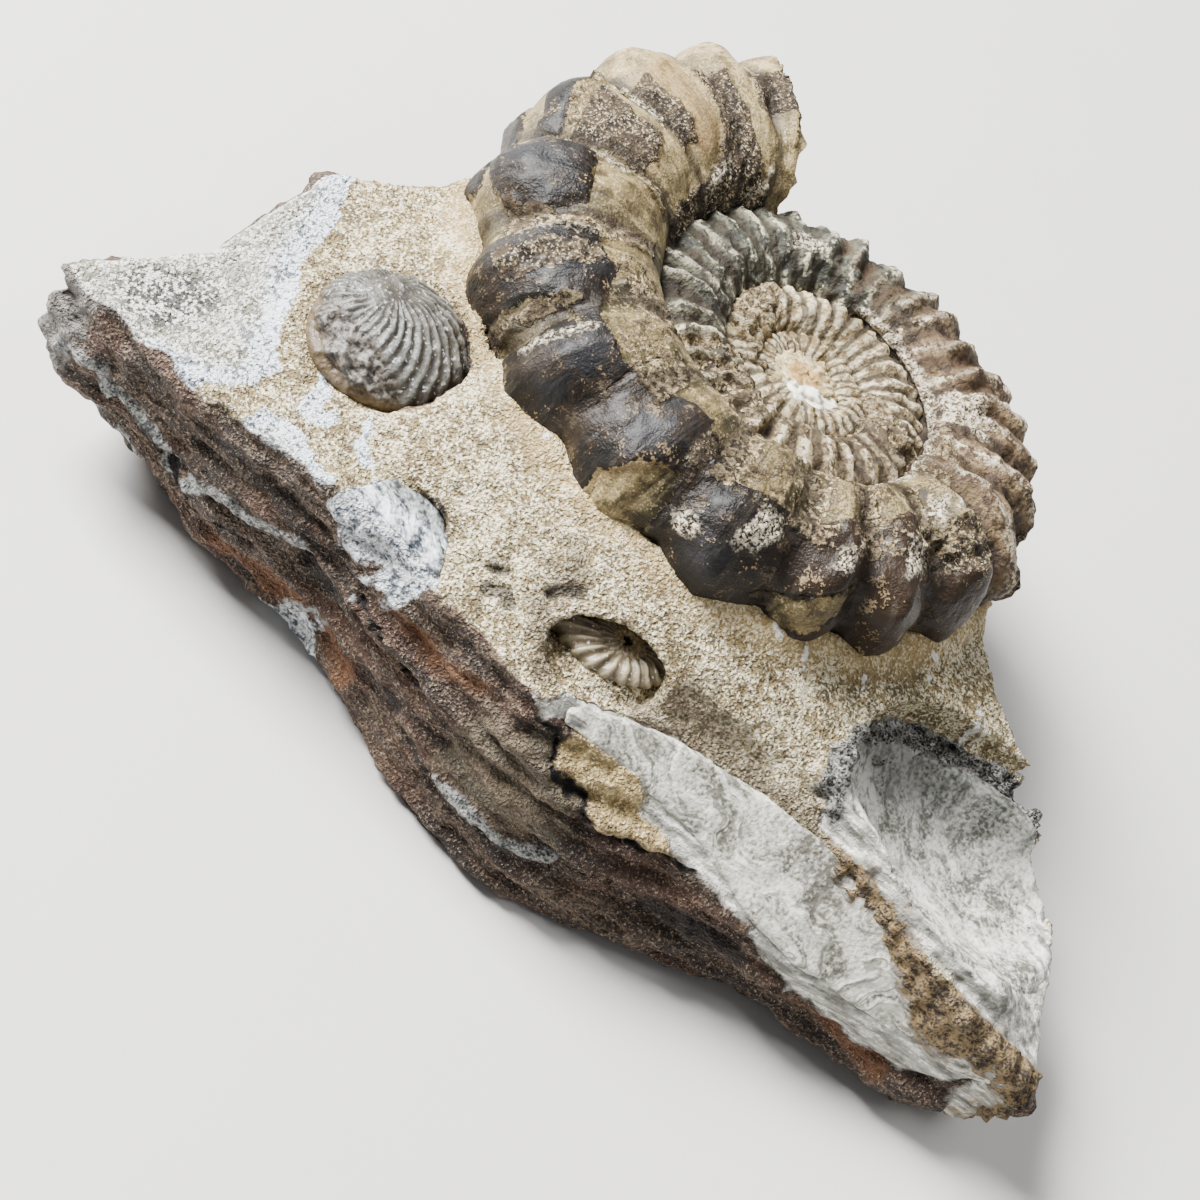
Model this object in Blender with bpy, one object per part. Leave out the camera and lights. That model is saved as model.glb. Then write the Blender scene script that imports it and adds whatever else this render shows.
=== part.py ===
"""A loose piece of fossil rock that holds one large coiled ammonite and five smaller fossils.

Metres, +Z up. The rock rests on its flat base at z = 0 and +X runs along its length.
The dimensions below are in millimetres and degrees.
"""

import bmesh
import bpy
import numpy as np
from mathutils import Euler, Matrix, Vector

MM = 0.001
GAP = 0.3  # clear gap between a fossil and its pocket
SAME_POINT = 1e-4  # points closer than this are one
REST_SHIFT = (0.1, 0.59, 0.0)  # brings the middle of the finished piece over the origin

# Coil of the ammonite
COIL_CENTRE = np.array([-2.0, 6.5, 16.9])
COIL_NORMAL = (-0.027, 0.161, 0.987)
COIL_ZERO_ANGLE = 28.9  # heading of the in-plane zero direction
MOUTH_ANGLE = 96.0  # where the broken mouth of the shell is, from the zero direction
MOUTH_RADIUS = 28.9
WHORL_RATE = 1.86  # how much the radius grows in one turn
WHORL_HALF_HEIGHT = 0.262  # share of the radius
WHORL_HALF_WIDTH = 0.237
WHORL_SQUARENESS = 0.9  # below 1 flattens the flanks and the outer face
MOUTH_TURN = 0.004
WHORL_ENDS = (0.985, 1.96, 2.95)  # turns back from the mouth at which each modelled length ends
WHORL_SIDES = (13, 9, 7)
SECTIONS_PER_RIB = (4, 2, 0.5)
SHORTEST_SECTION = 0.004  # turns
JOINT = 0.02  # overlap of two lengths, in turns
JOINT_STEP = 0.12  # how much thinner the older length is there
CORE_HALF_SIZE = (4.4, 4.4, 1.3)
CORE_SIDES, CORE_RINGS = 14, 6

# Ribs of the coil
RIB_STARTS = (0.012, 0.043, 0.082, 0.135, 0.195, 0.255, 0.31, 0.365, 0.425, 0.478, 0.525,
              0.582, 0.63, 0.672, 0.71, 0.745, 0.777, 0.808)
INNER_RIB_STEP = 0.031  # turns between ribs on the older whorls
RIBBED_TURNS = 4.0
RIB_RISE = 0.019  # share of the radius, above the mean surface
OLDER_RIB_LOSS = 0.008  # how much lower the ribs of the older whorls are
LOSS_FROM, LOSS_OVER = 0.45, 0.3  # turns
CREST_BLUNTNESS, GROOVE_SHARPNESS = 0.7, 1.3
RIB_FADE_FROM, RIB_FADE_OVER = -0.75, 0.7  # cosines round the whorl, fading out on its inner face

# Bed of the ammonite
BED_DEPTH = 4.0  # under the middle of the coil
BED_SECTIONS = 36
BED_SLOPES = (120.0, 96.0, 72.0, 48.0, 24.0)  # round the outer whorl, from its inner shoulder
BED_FLOOR_REACH = 2.2  # half heights in from the outer face
BED_FLOOR_SHARE = 0.86
BED_WALL_LEAN = 1.1
BED_WALL_TOP = 9.0

# Outline of the rock at four levels, station by station: top edge, middle and lower (x, y, z),
# then the flat base (x, y). The stations run along the front, round the thin right end,
# behind the ammonite and back to the left tip.
STATIONS = (
    ((-41.5, -24.0, 13.0), (-41.2, -25.2, 10.5), (-40.7, -24.6, 7.5), (-33.0, -19.0)),
    ((-39.0, -24.6, 13.4), (-38.9, -26.0, 10.0), (-38.4, -25.6, 6.2), (-31.5, -21.0)),
    ((-36.4, -24.5, 13.7), (-36.0, -26.0, 9.8), (-34.2, -25.3, 5.5), (-29.5, -22.5)),
    ((-31.0, -25.1, 14.5), (-31.0, -26.2, 9.5), (-30.5, -25.2, 4.5), (-26.5, -23.3)),
    ((-25.8, -25.4, 15.0), (-25.8, -26.6, 9.0), (-25.3, -26.1, 3.0), (-23.5, -24.4)),
    ((-20.4, -24.8, 15.5), (-20.6, -26.4, 9.0), (-20.8, -25.4, 2.5), (-19.5, -24.2)),
    ((-15.7, -25.2, 15.5), (-16.0, -26.4, 8.5), (-16.5, -25.2, 1.5), (-15.5, -24.4)),
    ((-10.6, -26.1, 15.5), (-11.0, -27.8, 8.5), (-11.2, -26.9, 0.8), (-10.8, -26.2)),
    ((-6.5, -26.2, 15.5), (-6.5, -28.4, 9.5), (-5.6, -29.0, 0.8), (-5.6, -28.5)),
    ((-2.8, -26.6, 15.2), (-2.0, -28.0, 12.0), (-1.8, -30.1, 0.8), (-1.8, -29.6)),
    ((-0.5, -24.8, 15.1), (2.0, -28.4, 11.5), (2.4, -30.3, 0.8), (2.4, -29.8)),
    ((3.0, -22.6, 14.8), (6.4, -27.8, 10.5), (7.3, -29.5, 1.0), (7.0, -28.7)),
    ((7.9, -20.9, 14.5), (12.1, -25.2, 10.5), (12.0, -28.0, 1.5), (11.6, -27.0)),
    ((13.1, -19.4, 14.2), (17.0, -24.9, 9.5), (16.5, -26.2, 1.6), (15.8, -25.2)),
    ((17.8, -18.5, 14.0), (21.9, -24.9, 8.5), (20.9, -24.4, 2.0), (19.8, -23.2)),
    ((23.5, -19.0, 13.3), (26.5, -23.5, 7.6), (26.0, -23.9, 2.0), (24.4, -22.0)),
    ((28.3, -19.9, 12.5), (31.1, -22.4, 7.0), (31.5, -23.4, 2.4), (29.0, -20.8)),
    ((32.0, -20.6, 11.5), (35.2, -21.9, 7.0), (35.7, -22.0, 2.6), (31.5, -19.5)),
    ((36.4, -20.7, 10.5), (38.7, -20.6, 7.0), (39.1, -20.3, 3.4), (33.0, -18.2)),
    ((40.2, -19.5, 8.5), (41.2, -19.2, 6.6), (41.3, -18.7, 4.2), (34.0, -16.5)),
    ((39.2, -17.2, 9.0), (39.4, -17.2, 6.6), (38.6, -16.8, 4.0), (34.4, -14.8)),
    ((37.5, -13.4, 9.3), (37.3, -13.4, 6.6), (36.6, -13.2, 3.8), (33.6, -12.6)),
    ((36.4, -10.8, 9.6), (36.0, -10.8, 6.6), (35.2, -10.8, 3.6), (32.4, -10.6)),
    ((34.3, -8.0, 10.2), (33.8, -8.2, 7.0), (32.8, -8.4, 3.4), (30.4, -8.8)),
    ((31.9, -6.2, 11.2), (31.6, -6.4, 7.6), (30.6, -6.8, 3.2), (28.4, -7.2)),
    ((30.0, -4.2, 12.8), (29.6, -4.6, 8.2), (28.6, -5.2, 3.0), (26.4, -6.0)),
    ((27.9, -3.2, 14.2), (27.6, -3.8, 8.6), (26.4, -4.4, 3.0), (24.2, -5.2)),
    ((22.0, -1.4, 15.5), (22.0, -2.2, 9.0), (20.8, -2.8, 3.0), (19.0, -3.6)),
    ((19.2, 1.6, 15.5), (18.8, 1.2, 9.0), (17.6, 0.8, 3.5), (16.6, 0.4)),
    ((17.6, 5.0, 15.2), (17.0, 5.2, 9.0), (15.6, 5.0, 3.5), (14.4, 4.6)),
    ((15.5, 11.0, 14.5), (15.0, 11.0, 9.0), (13.6, 10.4, 3.5), (12.0, 9.4)),
    ((9.0, 17.0, 13.8), (9.4, 17.6, 8.5), (8.2, 16.4, 3.0), (7.0, 14.6)),
    ((0.0, 19.4, 13.4), (0.2, 20.2, 8.0), (0.0, 18.6, 3.0), (0.0, 16.6)),
    ((-9.0, 18.8, 13.2), (-9.4, 19.4, 8.0), (-9.0, 17.8, 3.0), (-8.0, 15.6)),
    ((-17.0, 15.0, 14.0), (-17.8, 15.6, 8.0), (-16.8, 14.0, 3.0), (-15.0, 12.0)),
    ((-22.5, 9.5, 14.8), (-23.4, 9.8, 8.5), (-22.0, 8.6, 3.5), (-20.0, 6.8)),
    ((-27.6, 1.3, 15.5), (-28.0, 1.4, 9.0), (-26.8, 0.8, 3.5), (-24.6, -0.4)),
    ((-31.5, -3.3, 15.2), (-31.4, -3.4, 9.5), (-30.0, -4.0, 4.0), (-27.6, -5.0)),
    ((-34.6, -5.0, 14.8), (-34.0, -5.4, 10.0), (-32.6, -6.0, 4.8), (-29.8, -7.6)),
    ((-35.2, -9.1, 14.5), (-34.8, -9.2, 10.0), (-33.6, -9.4, 5.0), (-31.0, -10.6)),
    ((-35.4, -12.6, 14.3), (-35.4, -12.8, 10.0), (-34.4, -13.0, 5.4), (-31.8, -13.2)),
    ((-36.0, -16.2, 14.0), (-36.0, -16.4, 9.8), (-35.2, -16.6, 5.8), (-32.4, -15.6)),
    ((-38.0, -18.9, 13.6), (-38.0, -19.2, 9.8), (-37.2, -19.6, 6.2), (-33.0, -17.0)),
    ((-40.4, -21.8, 13.2), (-40.4, -22.4, 10.0), (-39.6, -22.8, 6.8), (-33.4, -18.0)),
)
BLOCK_MIDDLE = np.array([0.0, -10.0])
BASE_RING_SHARE = 0.4
TOP_LEVEL = 15.5
TOP_RINGS = (0.93, 0.84, 0.72, 0.58, 0.42, 0.24)
EDGE_EASE = 0.2  # share of the way in over which the top edge blends into the bedding face
LEFT_FALL, LEFT_FALL_FROM = 0.11, -20.0  # slope towards the left tip
RIGHT_FALL, RIGHT_FALL_FROM = 0.17, 18.0
LIP_WIDTH = 10.0  # how far from the ammonite the sandy lip has died away
LIP_HEADING = 235.0  # where the rock stands highest against the ammonite
SUNK = 1.0  # how far the rock stays under the middle plane of the coil
UNDER_COIL = 2.0  # how far inside the outer face the rock is lower still

# Domed ribbed shell
DOME_CENTRE = (-24.2, -14.2, 15.6)
DOME_HALF_SIZE = (5.1, 4.9, 2.6)
DOME_RIBS = 22
DOME_RIB_RISE = 0.015
DOME_SIDES, DOME_RINGS = 44, 6
DOME_APEX = (0.9, -0.5)  # where the ribs start, in half sizes
DOME_POCKET_ROOM = 0.4
DOME_POCKET_RISE = 4.0
DOME_POCKET_SPREAD = 1.15

# Young ammonite in its little pit
PIT_CENTRE = (-0.4, -21.4, 15.6)
PIT_HALF_SIZE = (4.4, 3.2, 2.5)
PIT_HEADING = 20.0
PIT_SIDES, PIT_RINGS = 16, 8
YOUNG_HALF_SIZE = (3.3, 2.2, 0.9)
YOUNG_SINK = 1.1
YOUNG_RIBS = 11
YOUNG_RIB_RISE = 0.12
YOUNG_SIDES, YOUNG_RINGS = 44, 6

# Pearly scrap on the top
SCRAP_OUTLINE = ((-18.9, -24.0), (-17.4, -21.4), (-14.4, -20.9), (-12.6, -22.4), (-11.6, -24.9),
                 (-14.2, -24.6), (-16.6, -24.4))
SCRAP_THICKNESS = 0.9
SCRAP_PROUD = 0.15
SCRAP_POCKET_RISE = 3.0

# Hollow at the right end and the shell that lines it
HOLLOW_CENTRE = (29.5, -11.2, 14.9)
HOLLOW_HALF_SIZE = (14.5, 8.6, 7.2)
HOLLOW_HEADING = 5.0
HOLLOW_SIDES, HOLLOW_RINGS = 22, 12
LINING_THICKNESS = 0.9
RIM_CUTTER_SIZE = 60.0
RIM_CUTTER_CENTRE = (30.0, -2.0, 42.0)
RIM_LEAN = -16.0

# Sheet of shell on the sloping front
SHEET_FIRST, SHEET_LAST = 10, 18  # stations between which the sheet lies
SHEET_TOP_SHARE = (0.10, 0.06, 0.05, 0.07, 0.10, 0.12, 0.14, 0.18, 0.28)
SHEET_LOW_SHARE = (0.28, 0.42, 0.72, 0.94, 0.95, 0.95, 0.94, 0.90, 0.70)
SHEET_THICKNESS = 0.9
SHEET_PROUD = 0.15
SHEET_POCKET_RISE = 2.5
SHEET_SECTIONS, SHEET_ROWS = 8, 3
SHEET_LEAN = Vector((0.0, -0.6, 0.8))  # the way the sloping front looks


# Scene and helpers


def clear_scene():
    for obj in list(bpy.data.objects):
        bpy.data.objects.remove(obj, do_unlink=True)


def new_collection(name, hidden=False):
    collection = bpy.data.collections.new(name)
    bpy.context.scene.collection.children.link(collection)
    collection.hide_render = hidden
    return collection


def add_object(name, bm, collection, material=None, smooth=False):
    """An object from a mesh given in millimetres."""
    bmesh.ops.translate(bm, vec=REST_SHIFT, verts=bm.verts)
    bmesh.ops.scale(bm, vec=(MM, MM, MM), verts=bm.verts)
    bmesh.ops.recalc_face_normals(bm, faces=bm.faces)
    mesh = bpy.data.meshes.new(name)
    bm.to_mesh(mesh)
    bm.free()
    for face in mesh.polygons:
        face.use_smooth = smooth
    obj = bpy.data.objects.new(name, mesh)
    collection.objects.link(obj)
    if material is not None:
        mesh.materials.append(material)
    if collection.hide_render:
        obj.hide_render = True
        obj.display_type = "WIRE"
    return obj


def combine(target, other, operation):
    modifier = target.modifiers.new(operation.lower() + "_" + other.name, "BOOLEAN")
    modifier.operation = operation
    modifier.solver = "EXACT"
    modifier.use_self = True
    modifier.object = other


def stone(name, colour, roughness):
    material = bpy.data.materials.new(name)
    material.use_nodes = True
    shader = material.node_tree.nodes["Principled BSDF"]
    shader.inputs["Base Color"].default_value = (*colour, 1.0)
    shader.inputs["Roughness"].default_value = roughness
    material.diffuse_color = (*colour, 1.0)
    return material


def smoothstep(t):
    t = np.clip(t, 0.0, 1.0)
    return t * t * (3.0 - 2.0 * t)


def close_ends(bm):
    """Caps each open end of a tube with one face."""
    open_edges = [edge for edge in bm.edges if edge.is_boundary]
    bmesh.ops.holes_fill(bm, edges=open_edges, sides=0)


def placement(centre, heading):
    turn = Euler((0.0, 0.0, np.radians(heading))).to_matrix().to_4x4()
    return Matrix.Translation(centre) @ turn


def ball(half_size, sides, rings):
    """An ellipsoid round the origin."""
    bm = bmesh.new()
    bmesh.ops.create_uvsphere(bm, u_segments=sides, v_segments=rings, radius=1.0)
    bmesh.ops.scale(bm, vec=half_size, verts=bm.verts)
    return bm


# Coil of the ammonite


def coil_axes():
    normal = np.array(COIL_NORMAL) / np.linalg.norm(COIL_NORMAL)
    heading = np.radians(COIL_ZERO_ANGLE)
    first = np.array([np.cos(heading), np.sin(heading), 0.0])
    first = first - normal * (first @ normal)
    first = first / np.linalg.norm(first)
    return first, np.cross(normal, first), normal


def coil_radius(turn):
    return MOUTH_RADIUS * WHORL_RATE ** (-turn)


def coil_outward(turn):
    """The direction from the axis of the coil to its outer face."""
    first, second, _ = coil_axes()
    angle = np.radians(MOUTH_ANGLE) + 2.0 * np.pi * turn
    return np.cos(angle) * first + np.sin(angle) * second


def rib_crests():
    """Where the rib crests are, in turns back from the mouth."""
    crests = list(RIB_STARTS)
    while crests[-1] < RIBBED_TURNS:
        crests.append(crests[-1] + INNER_RIB_STEP)
    return crests


def rib_profile(turn):
    """Height of the ribs along the shell, 1 on a crest and -1 in a groove."""
    crests = rib_crests()
    wave = np.cos(2.0 * np.pi * np.interp(turn, crests, np.arange(len(crests)), left=-0.4))
    if wave > 0.0:
        return wave ** CREST_BLUNTNESS
    return -(-wave) ** GROOVE_SHARPNESS


def section_turns(start, end, per_rib):
    """Where the sections of a length of the shell are, an even number to each rib."""
    crests = rib_crests()
    phases = np.arange(0.0, len(crests) - 1.0, 1.0 / per_rib)
    turns = np.interp(phases, np.arange(len(crests)), crests)
    between = [turn for turn in turns if start + SHORTEST_SECTION < turn < end - SHORTEST_SECTION]
    return [start, *between, end]


def squared(value):
    return np.sign(value) * abs(value) ** WHORL_SQUARENESS


def coil_point(turn, around, grow):
    """A point on the shell: turns back from the mouth, and angle round the whorl from its outer face."""
    radius = coil_radius(turn)
    fade = smoothstep((np.cos(around) - RIB_FADE_FROM) / RIB_FADE_OVER)
    strength = RIB_RISE - OLDER_RIB_LOSS * smoothstep((turn - LOSS_FROM) / LOSS_OVER)
    rise = grow + strength * radius * rib_profile(turn) * fade
    height = WHORL_HALF_HEIGHT * radius
    along = radius - height + (height + rise) * squared(np.cos(around))
    aside = (WHORL_HALF_WIDTH * radius + rise) * squared(np.sin(around))
    return COIL_CENTRE + coil_outward(turn) * along + coil_axes()[2] * aside


def whorl(turns, sides, grow):
    """A closed length of the coiled tube through sections at the given turns."""
    bm = bmesh.new()
    bmesh.ops.create_grid(bm, x_segments=len(turns) - 1, y_segments=sides, size=0.5)
    for vertex in bm.verts:
        section = round((vertex.co.x + 0.5) * (len(turns) - 1))
        vertex.co = coil_point(turns[section], 2.0 * np.pi * (vertex.co.y + 0.5), grow)
    bmesh.ops.remove_doubles(bm, verts=bm.verts, dist=SAME_POINT)
    close_ends(bm)
    return bm


def coil_core():
    """The innermost turns, too small to tell apart here, as one low lens."""
    first, second, normal = coil_axes()
    bm = ball(CORE_HALF_SIZE, CORE_SIDES, CORE_RINGS)
    for vertex in bm.verts:
        x, y, z = vertex.co
        vertex.co = COIL_CENTRE + first * x + second * y + normal * z
    return bm


def make_ammonite(parts, cutters):
    """The coil as three lengths of ribbed tube, each a little thinner where it joins, and its core."""
    shell = stone("ammonite_shell", (0.16, 0.13, 0.1), 0.4)
    body = None
    start = MOUTH_TURN
    for number, end in enumerate(WHORL_ENDS):
        turns = section_turns(start, end, SECTIONS_PER_RIB[number])
        bm = whorl(turns, WHORL_SIDES[number], -JOINT_STEP * number)
        if body is None:
            body = add_object("ammonite", bm, parts, shell, smooth=True)
        else:
            combine(body, add_object(f"whorl_{number + 1}", bm, cutters), "UNION")
        start = end - JOINT
    combine(body, add_object("coil_core", coil_core(), cutters), "UNION")


def bed_point(turn, step):
    """A point of the bed: step 0 is its middle, the last step the top of its wall."""
    room = GAP + RIB_RISE * MOUTH_RADIUS
    radius = coil_radius(turn)
    height = WHORL_HALF_HEIGHT * radius + room
    width = WHORL_HALF_WIDTH * radius + room
    if step == 0:
        return 0.0, BED_DEPTH
    if step == 1:
        return radius - BED_FLOOR_REACH * height, BED_FLOOR_SHARE * width
    if step - 2 < len(BED_SLOPES):
        slope = np.radians(BED_SLOPES[step - 2])
        return radius - height + room + height * np.cos(slope), width * np.sin(slope)
    return radius + BED_WALL_LEAN * room, -BED_WALL_TOP


def ammonite_bed():
    """The bed that the ammonite fills, open above: rings round the coil, from its middle outwards."""
    normal = coil_axes()[2]
    steps = len(BED_SLOPES) + 2
    bm = bmesh.new()
    bmesh.ops.create_grid(bm, x_segments=BED_SECTIONS, y_segments=steps, size=0.5)
    for vertex in bm.verts:
        turn = (vertex.co.x + 0.5) % 1.0
        along, down = bed_point(turn, round((vertex.co.y + 0.5) * steps))
        vertex.co = COIL_CENTRE + coil_outward(turn) * along - normal * down
    bmesh.ops.remove_doubles(bm, verts=bm.verts, dist=SAME_POINT)
    close_ends(bm)
    return bm


# Block of rock


def middle_plane(x, y):
    """Height of the coil's middle plane over a point."""
    normal = coil_axes()[2]
    away = np.array([x, y]) - COIL_CENTRE[:2]
    return COIL_CENTRE[2] - normal[:2] @ away / normal[2]


def top_height(x, y):
    """The bedding face: level, falling towards both ends and raised in a lip against the ammonite."""
    base = TOP_LEVEL - LEFT_FALL * max(0.0, LEFT_FALL_FROM - x)
    base = base - RIGHT_FALL * max(0.0, x - RIGHT_FALL_FROM)
    away_x, away_y = np.array([x, y]) - COIL_CENTRE[:2]
    heading = np.degrees(np.arctan2(away_y, away_x))
    turn = ((heading - COIL_ZERO_ANGLE - MOUTH_ANGLE) % 360.0) / 360.0
    outside = np.hypot(away_x, away_y) - coil_radius(turn)
    sunk = middle_plane(x, y) - SUNK
    share = 0.5 + 0.5 * np.cos(np.radians(heading - LIP_HEADING))
    lip = base + (sunk - base) * share * smoothstep(1.0 - outside / LIP_WIDTH)
    return min(lip, sunk - 0.5 * SUNK) if outside < -UNDER_COIL else lip


def ring_points(level):
    """One outline of the rock; the base outline lies at z = 0."""
    return [np.array((*station[level], 0.0)[:3]) for station in STATIONS]


def shrink_ring(points, share, height):
    """The outline drawn in towards the middle of the block, at a height given for each point."""
    ring = []
    for point in points:
        flat = BLOCK_MIDDLE + (point[:2] - BLOCK_MIDDLE) * share
        ring.append(np.array([flat[0], flat[1], height(flat, point)]))
    return ring


def face_height(share):
    """Eases the height from that of the edge to that of the bedding face, a little way in."""
    blend = smoothstep((1.0 - share) / EDGE_EASE)
    return lambda flat, point: point[2] + (top_height(flat[0], flat[1]) - point[2]) * blend


def half_way(first, second):
    return [(a + b) / 2.0 for a, b in zip(first, second)]


def block_rings():
    top, middle, lower, base = (ring_points(level) for level in range(4))
    rings = [shrink_ring(top, share, face_height(share)) for share in reversed(TOP_RINGS)]
    rings += [top, half_way(top, middle), middle, half_way(middle, lower), lower, base]
    rings.append(shrink_ring(base, BASE_RING_SHARE, lambda flat, point: 0.0))
    return rings


def rock_block():
    """The uncut block: a loft through its outlines, from the middle of the top to the base."""
    bm = bmesh.new()
    loops = []
    for ring in block_rings():
        vertices = [bm.verts.new(point) for point in ring]
        pairs = zip(vertices, vertices[1:] + vertices[:1])
        loops.append([bm.edges.new(pair) for pair in pairs])
    for upper, under in zip(loops, loops[1:]):
        bmesh.ops.bridge_loops(bm, edges=upper + under)
    for loop, level in ((loops[0], top_height(*BLOCK_MIDDLE)), (loops[-1], 0.0)):
        filled = bmesh.ops.contextual_create(bm, geom=loop)["faces"]
        centre = bmesh.ops.poke(bm, faces=filled)["verts"][0]
        centre.co = Vector((*BLOCK_MIDDLE, level))
    return bm


def make_matrix(parts):
    rock = stone("matrix_rock", (0.34, 0.28, 0.2), 0.9)
    return add_object("matrix", rock_block(), parts, rock)


# Domed ribbed shell


def dome():
    """A low dome with fine ribs that fan out from one side."""
    bm = ball(DOME_HALF_SIZE, DOME_SIDES, DOME_RINGS)
    apex = np.array(DOME_HALF_SIZE[:2]) * DOME_APEX
    for vertex in bm.verts:
        away = np.array(vertex.co.xy) - apex
        wave = np.cos(DOME_RIBS * np.arctan2(away[1], -away[0]))
        vertex.co = vertex.co * (1.0 + DOME_RIB_RISE * wave)
    bmesh.ops.translate(bm, vec=DOME_CENTRE, verts=bm.verts)
    return bm


def dome_pocket():
    """Room for the dome, its upper half widened and raised so that the pocket is open above."""
    bm = ball([size + DOME_POCKET_ROOM for size in DOME_HALF_SIZE], DOME_SIDES, DOME_RINGS)
    upper = [vertex for vertex in bm.verts if vertex.co.z > SAME_POINT]
    bmesh.ops.scale(bm, vec=(DOME_POCKET_SPREAD, DOME_POCKET_SPREAD, 1.0), verts=upper)
    bmesh.ops.translate(bm, vec=(0.0, 0.0, DOME_POCKET_RISE), verts=upper)
    bmesh.ops.translate(bm, vec=DOME_CENTRE, verts=bm.verts)
    return bm


def make_ribbed_shell(parts, cutters):
    dark = stone("ribbed_shell_stone", (0.12, 0.12, 0.12), 0.4)
    add_object("ribbed_shell", dome(), parts, dark, smooth=True)
    return add_object("pocket_dome", dome_pocket(), cutters)


# Young ammonite in its little pit


def young_shell():
    """A ribbed lens that lies in the little pit."""
    bm = ball(YOUNG_HALF_SIZE, YOUNG_SIDES, YOUNG_RINGS)
    for vertex in bm.verts:
        wave = np.cos(YOUNG_RIBS * np.arctan2(vertex.co.y, vertex.co.x))
        vertex.co.z *= 1.0 + YOUNG_RIB_RISE * wave
    centre = Vector(PIT_CENTRE) - Vector((0.0, 0.0, YOUNG_SINK))
    bmesh.ops.transform(bm, matrix=placement(centre, PIT_HEADING), verts=bm.verts)
    return bm


def make_small_ammonite(parts, cutters):
    olive = stone("young_shell_stone", (0.25, 0.22, 0.12), 0.35)
    add_object("small_ammonite", young_shell(), parts, olive, smooth=True)
    pit = ball(PIT_HALF_SIZE, PIT_SIDES, PIT_RINGS)
    bmesh.ops.transform(pit, matrix=placement(PIT_CENTRE, PIT_HEADING), verts=pit.verts)
    return add_object("pit", pit, cutters)


# Pearly scrap on the top


def plate(low, high, grow):
    """A flat plate with the outline of the scrap, grown all round."""
    middle = np.mean(SCRAP_OUTLINE, axis=0)
    bm = bmesh.new()
    corners = []
    for point in SCRAP_OUTLINE:
        away = np.array(point) - middle
        away = away * (1.0 + grow / np.linalg.norm(away))
        corners.append(bm.verts.new((*(middle + away), low)))
    face = bm.faces.new(corners)
    raised = bmesh.ops.extrude_face_region(bm, geom=[face])["geom"]
    lifted = [item for item in raised if isinstance(item, bmesh.types.BMVert)]
    bmesh.ops.translate(bm, vec=(0.0, 0.0, high - low), verts=lifted)
    return bm


def make_pearly_scrap(parts, cutters):
    pearl = stone("pearly_shell", (0.45, 0.47, 0.5), 0.3)
    top = TOP_LEVEL + SCRAP_PROUD
    low = top - SCRAP_THICKNESS
    add_object("pearly_scrap", plate(low, top, 0.0), parts, pearl)
    return add_object("pocket_scrap", plate(low - GAP, top + SCRAP_POCKET_RISE, GAP), cutters)


# Sheet of shell on the sloping front


def between(points, row):
    """A point part of the way along a row of points."""
    rows = np.arange(len(points))
    return np.array([np.interp(row, rows, column) for column in np.transpose(points)])


def sheet_surface(grow):
    """The middle surface of the sheet, grown all round."""
    stations = STATIONS[SHEET_FIRST:SHEET_LAST + 1]
    tops = [station[0] for station in stations]
    lows = [station[1] for station in stations]
    last = len(stations) - 1
    bm = bmesh.new()
    bmesh.ops.create_grid(bm, x_segments=SHEET_SECTIONS, y_segments=SHEET_ROWS, size=0.5)
    for vertex in bm.verts:
        row = (vertex.co.x + 0.5) * last
        across = vertex.co.y + 0.5
        end = round(vertex.co.x * 2.0) if row in (0.0, float(last)) else 0
        top = between(tops, row)
        low = between(lows, row)
        share = between([*zip(SHEET_TOP_SHARE, SHEET_LOW_SHARE)], row)
        place = share[0] + across * (share[1] - share[0])
        place += (2.0 * across - 1.0) * grow / np.linalg.norm(low - top)
        vertex.co = top + (low - top) * place
        vertex.co.x += end * grow
    return bm


def sheet(out, inwards, grow):
    """The sheet between a face lifted out of the sloping front and one sunk into it."""
    bm = sheet_surface(grow)
    outer = bm.verts[:]
    copied = bmesh.ops.duplicate(bm, geom=bm.verts[:] + bm.edges[:] + bm.faces[:])["geom"]
    inner = [item for item in copied if isinstance(item, bmesh.types.BMVert)]
    bmesh.ops.translate(bm, vec=SHEET_LEAN * out, verts=outer)
    bmesh.ops.translate(bm, vec=-SHEET_LEAN * inwards, verts=inner)
    rims = [edge for edge in bm.edges if edge.is_boundary]
    bmesh.ops.bridge_loops(bm, edges=rims)
    return bm


def make_shell_sheet(parts, cutters):
    silver = stone("sheet_shell", (0.42, 0.43, 0.45), 0.4)
    add_object("shell_sheet", sheet(SHEET_PROUD, SHEET_THICKNESS, 0.0), parts, silver)
    pocket = sheet(SHEET_POCKET_RISE, SHEET_THICKNESS + GAP, GAP)
    return add_object("pocket_sheet", pocket, cutters)


# Hollow at the right end


def hollow(shrink):
    bm = ball([size - shrink for size in HOLLOW_HALF_SIZE], HOLLOW_SIDES, HOLLOW_RINGS)
    bmesh.ops.transform(bm, matrix=placement(HOLLOW_CENTRE, HOLLOW_HEADING), verts=bm.verts)
    return bm


def rim_cutter():
    """A large cube whose leaning underside trims the rim of the lining."""
    bm = bmesh.new()
    bmesh.ops.create_cube(bm, size=RIM_CUTTER_SIZE)
    lean = Euler((np.radians(RIM_LEAN), 0.0, 0.0)).to_matrix().to_4x4()
    place = Matrix.Translation(RIM_CUTTER_CENTRE) @ lean
    bmesh.ops.transform(bm, matrix=place, verts=bm.verts)
    return bm


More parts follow.
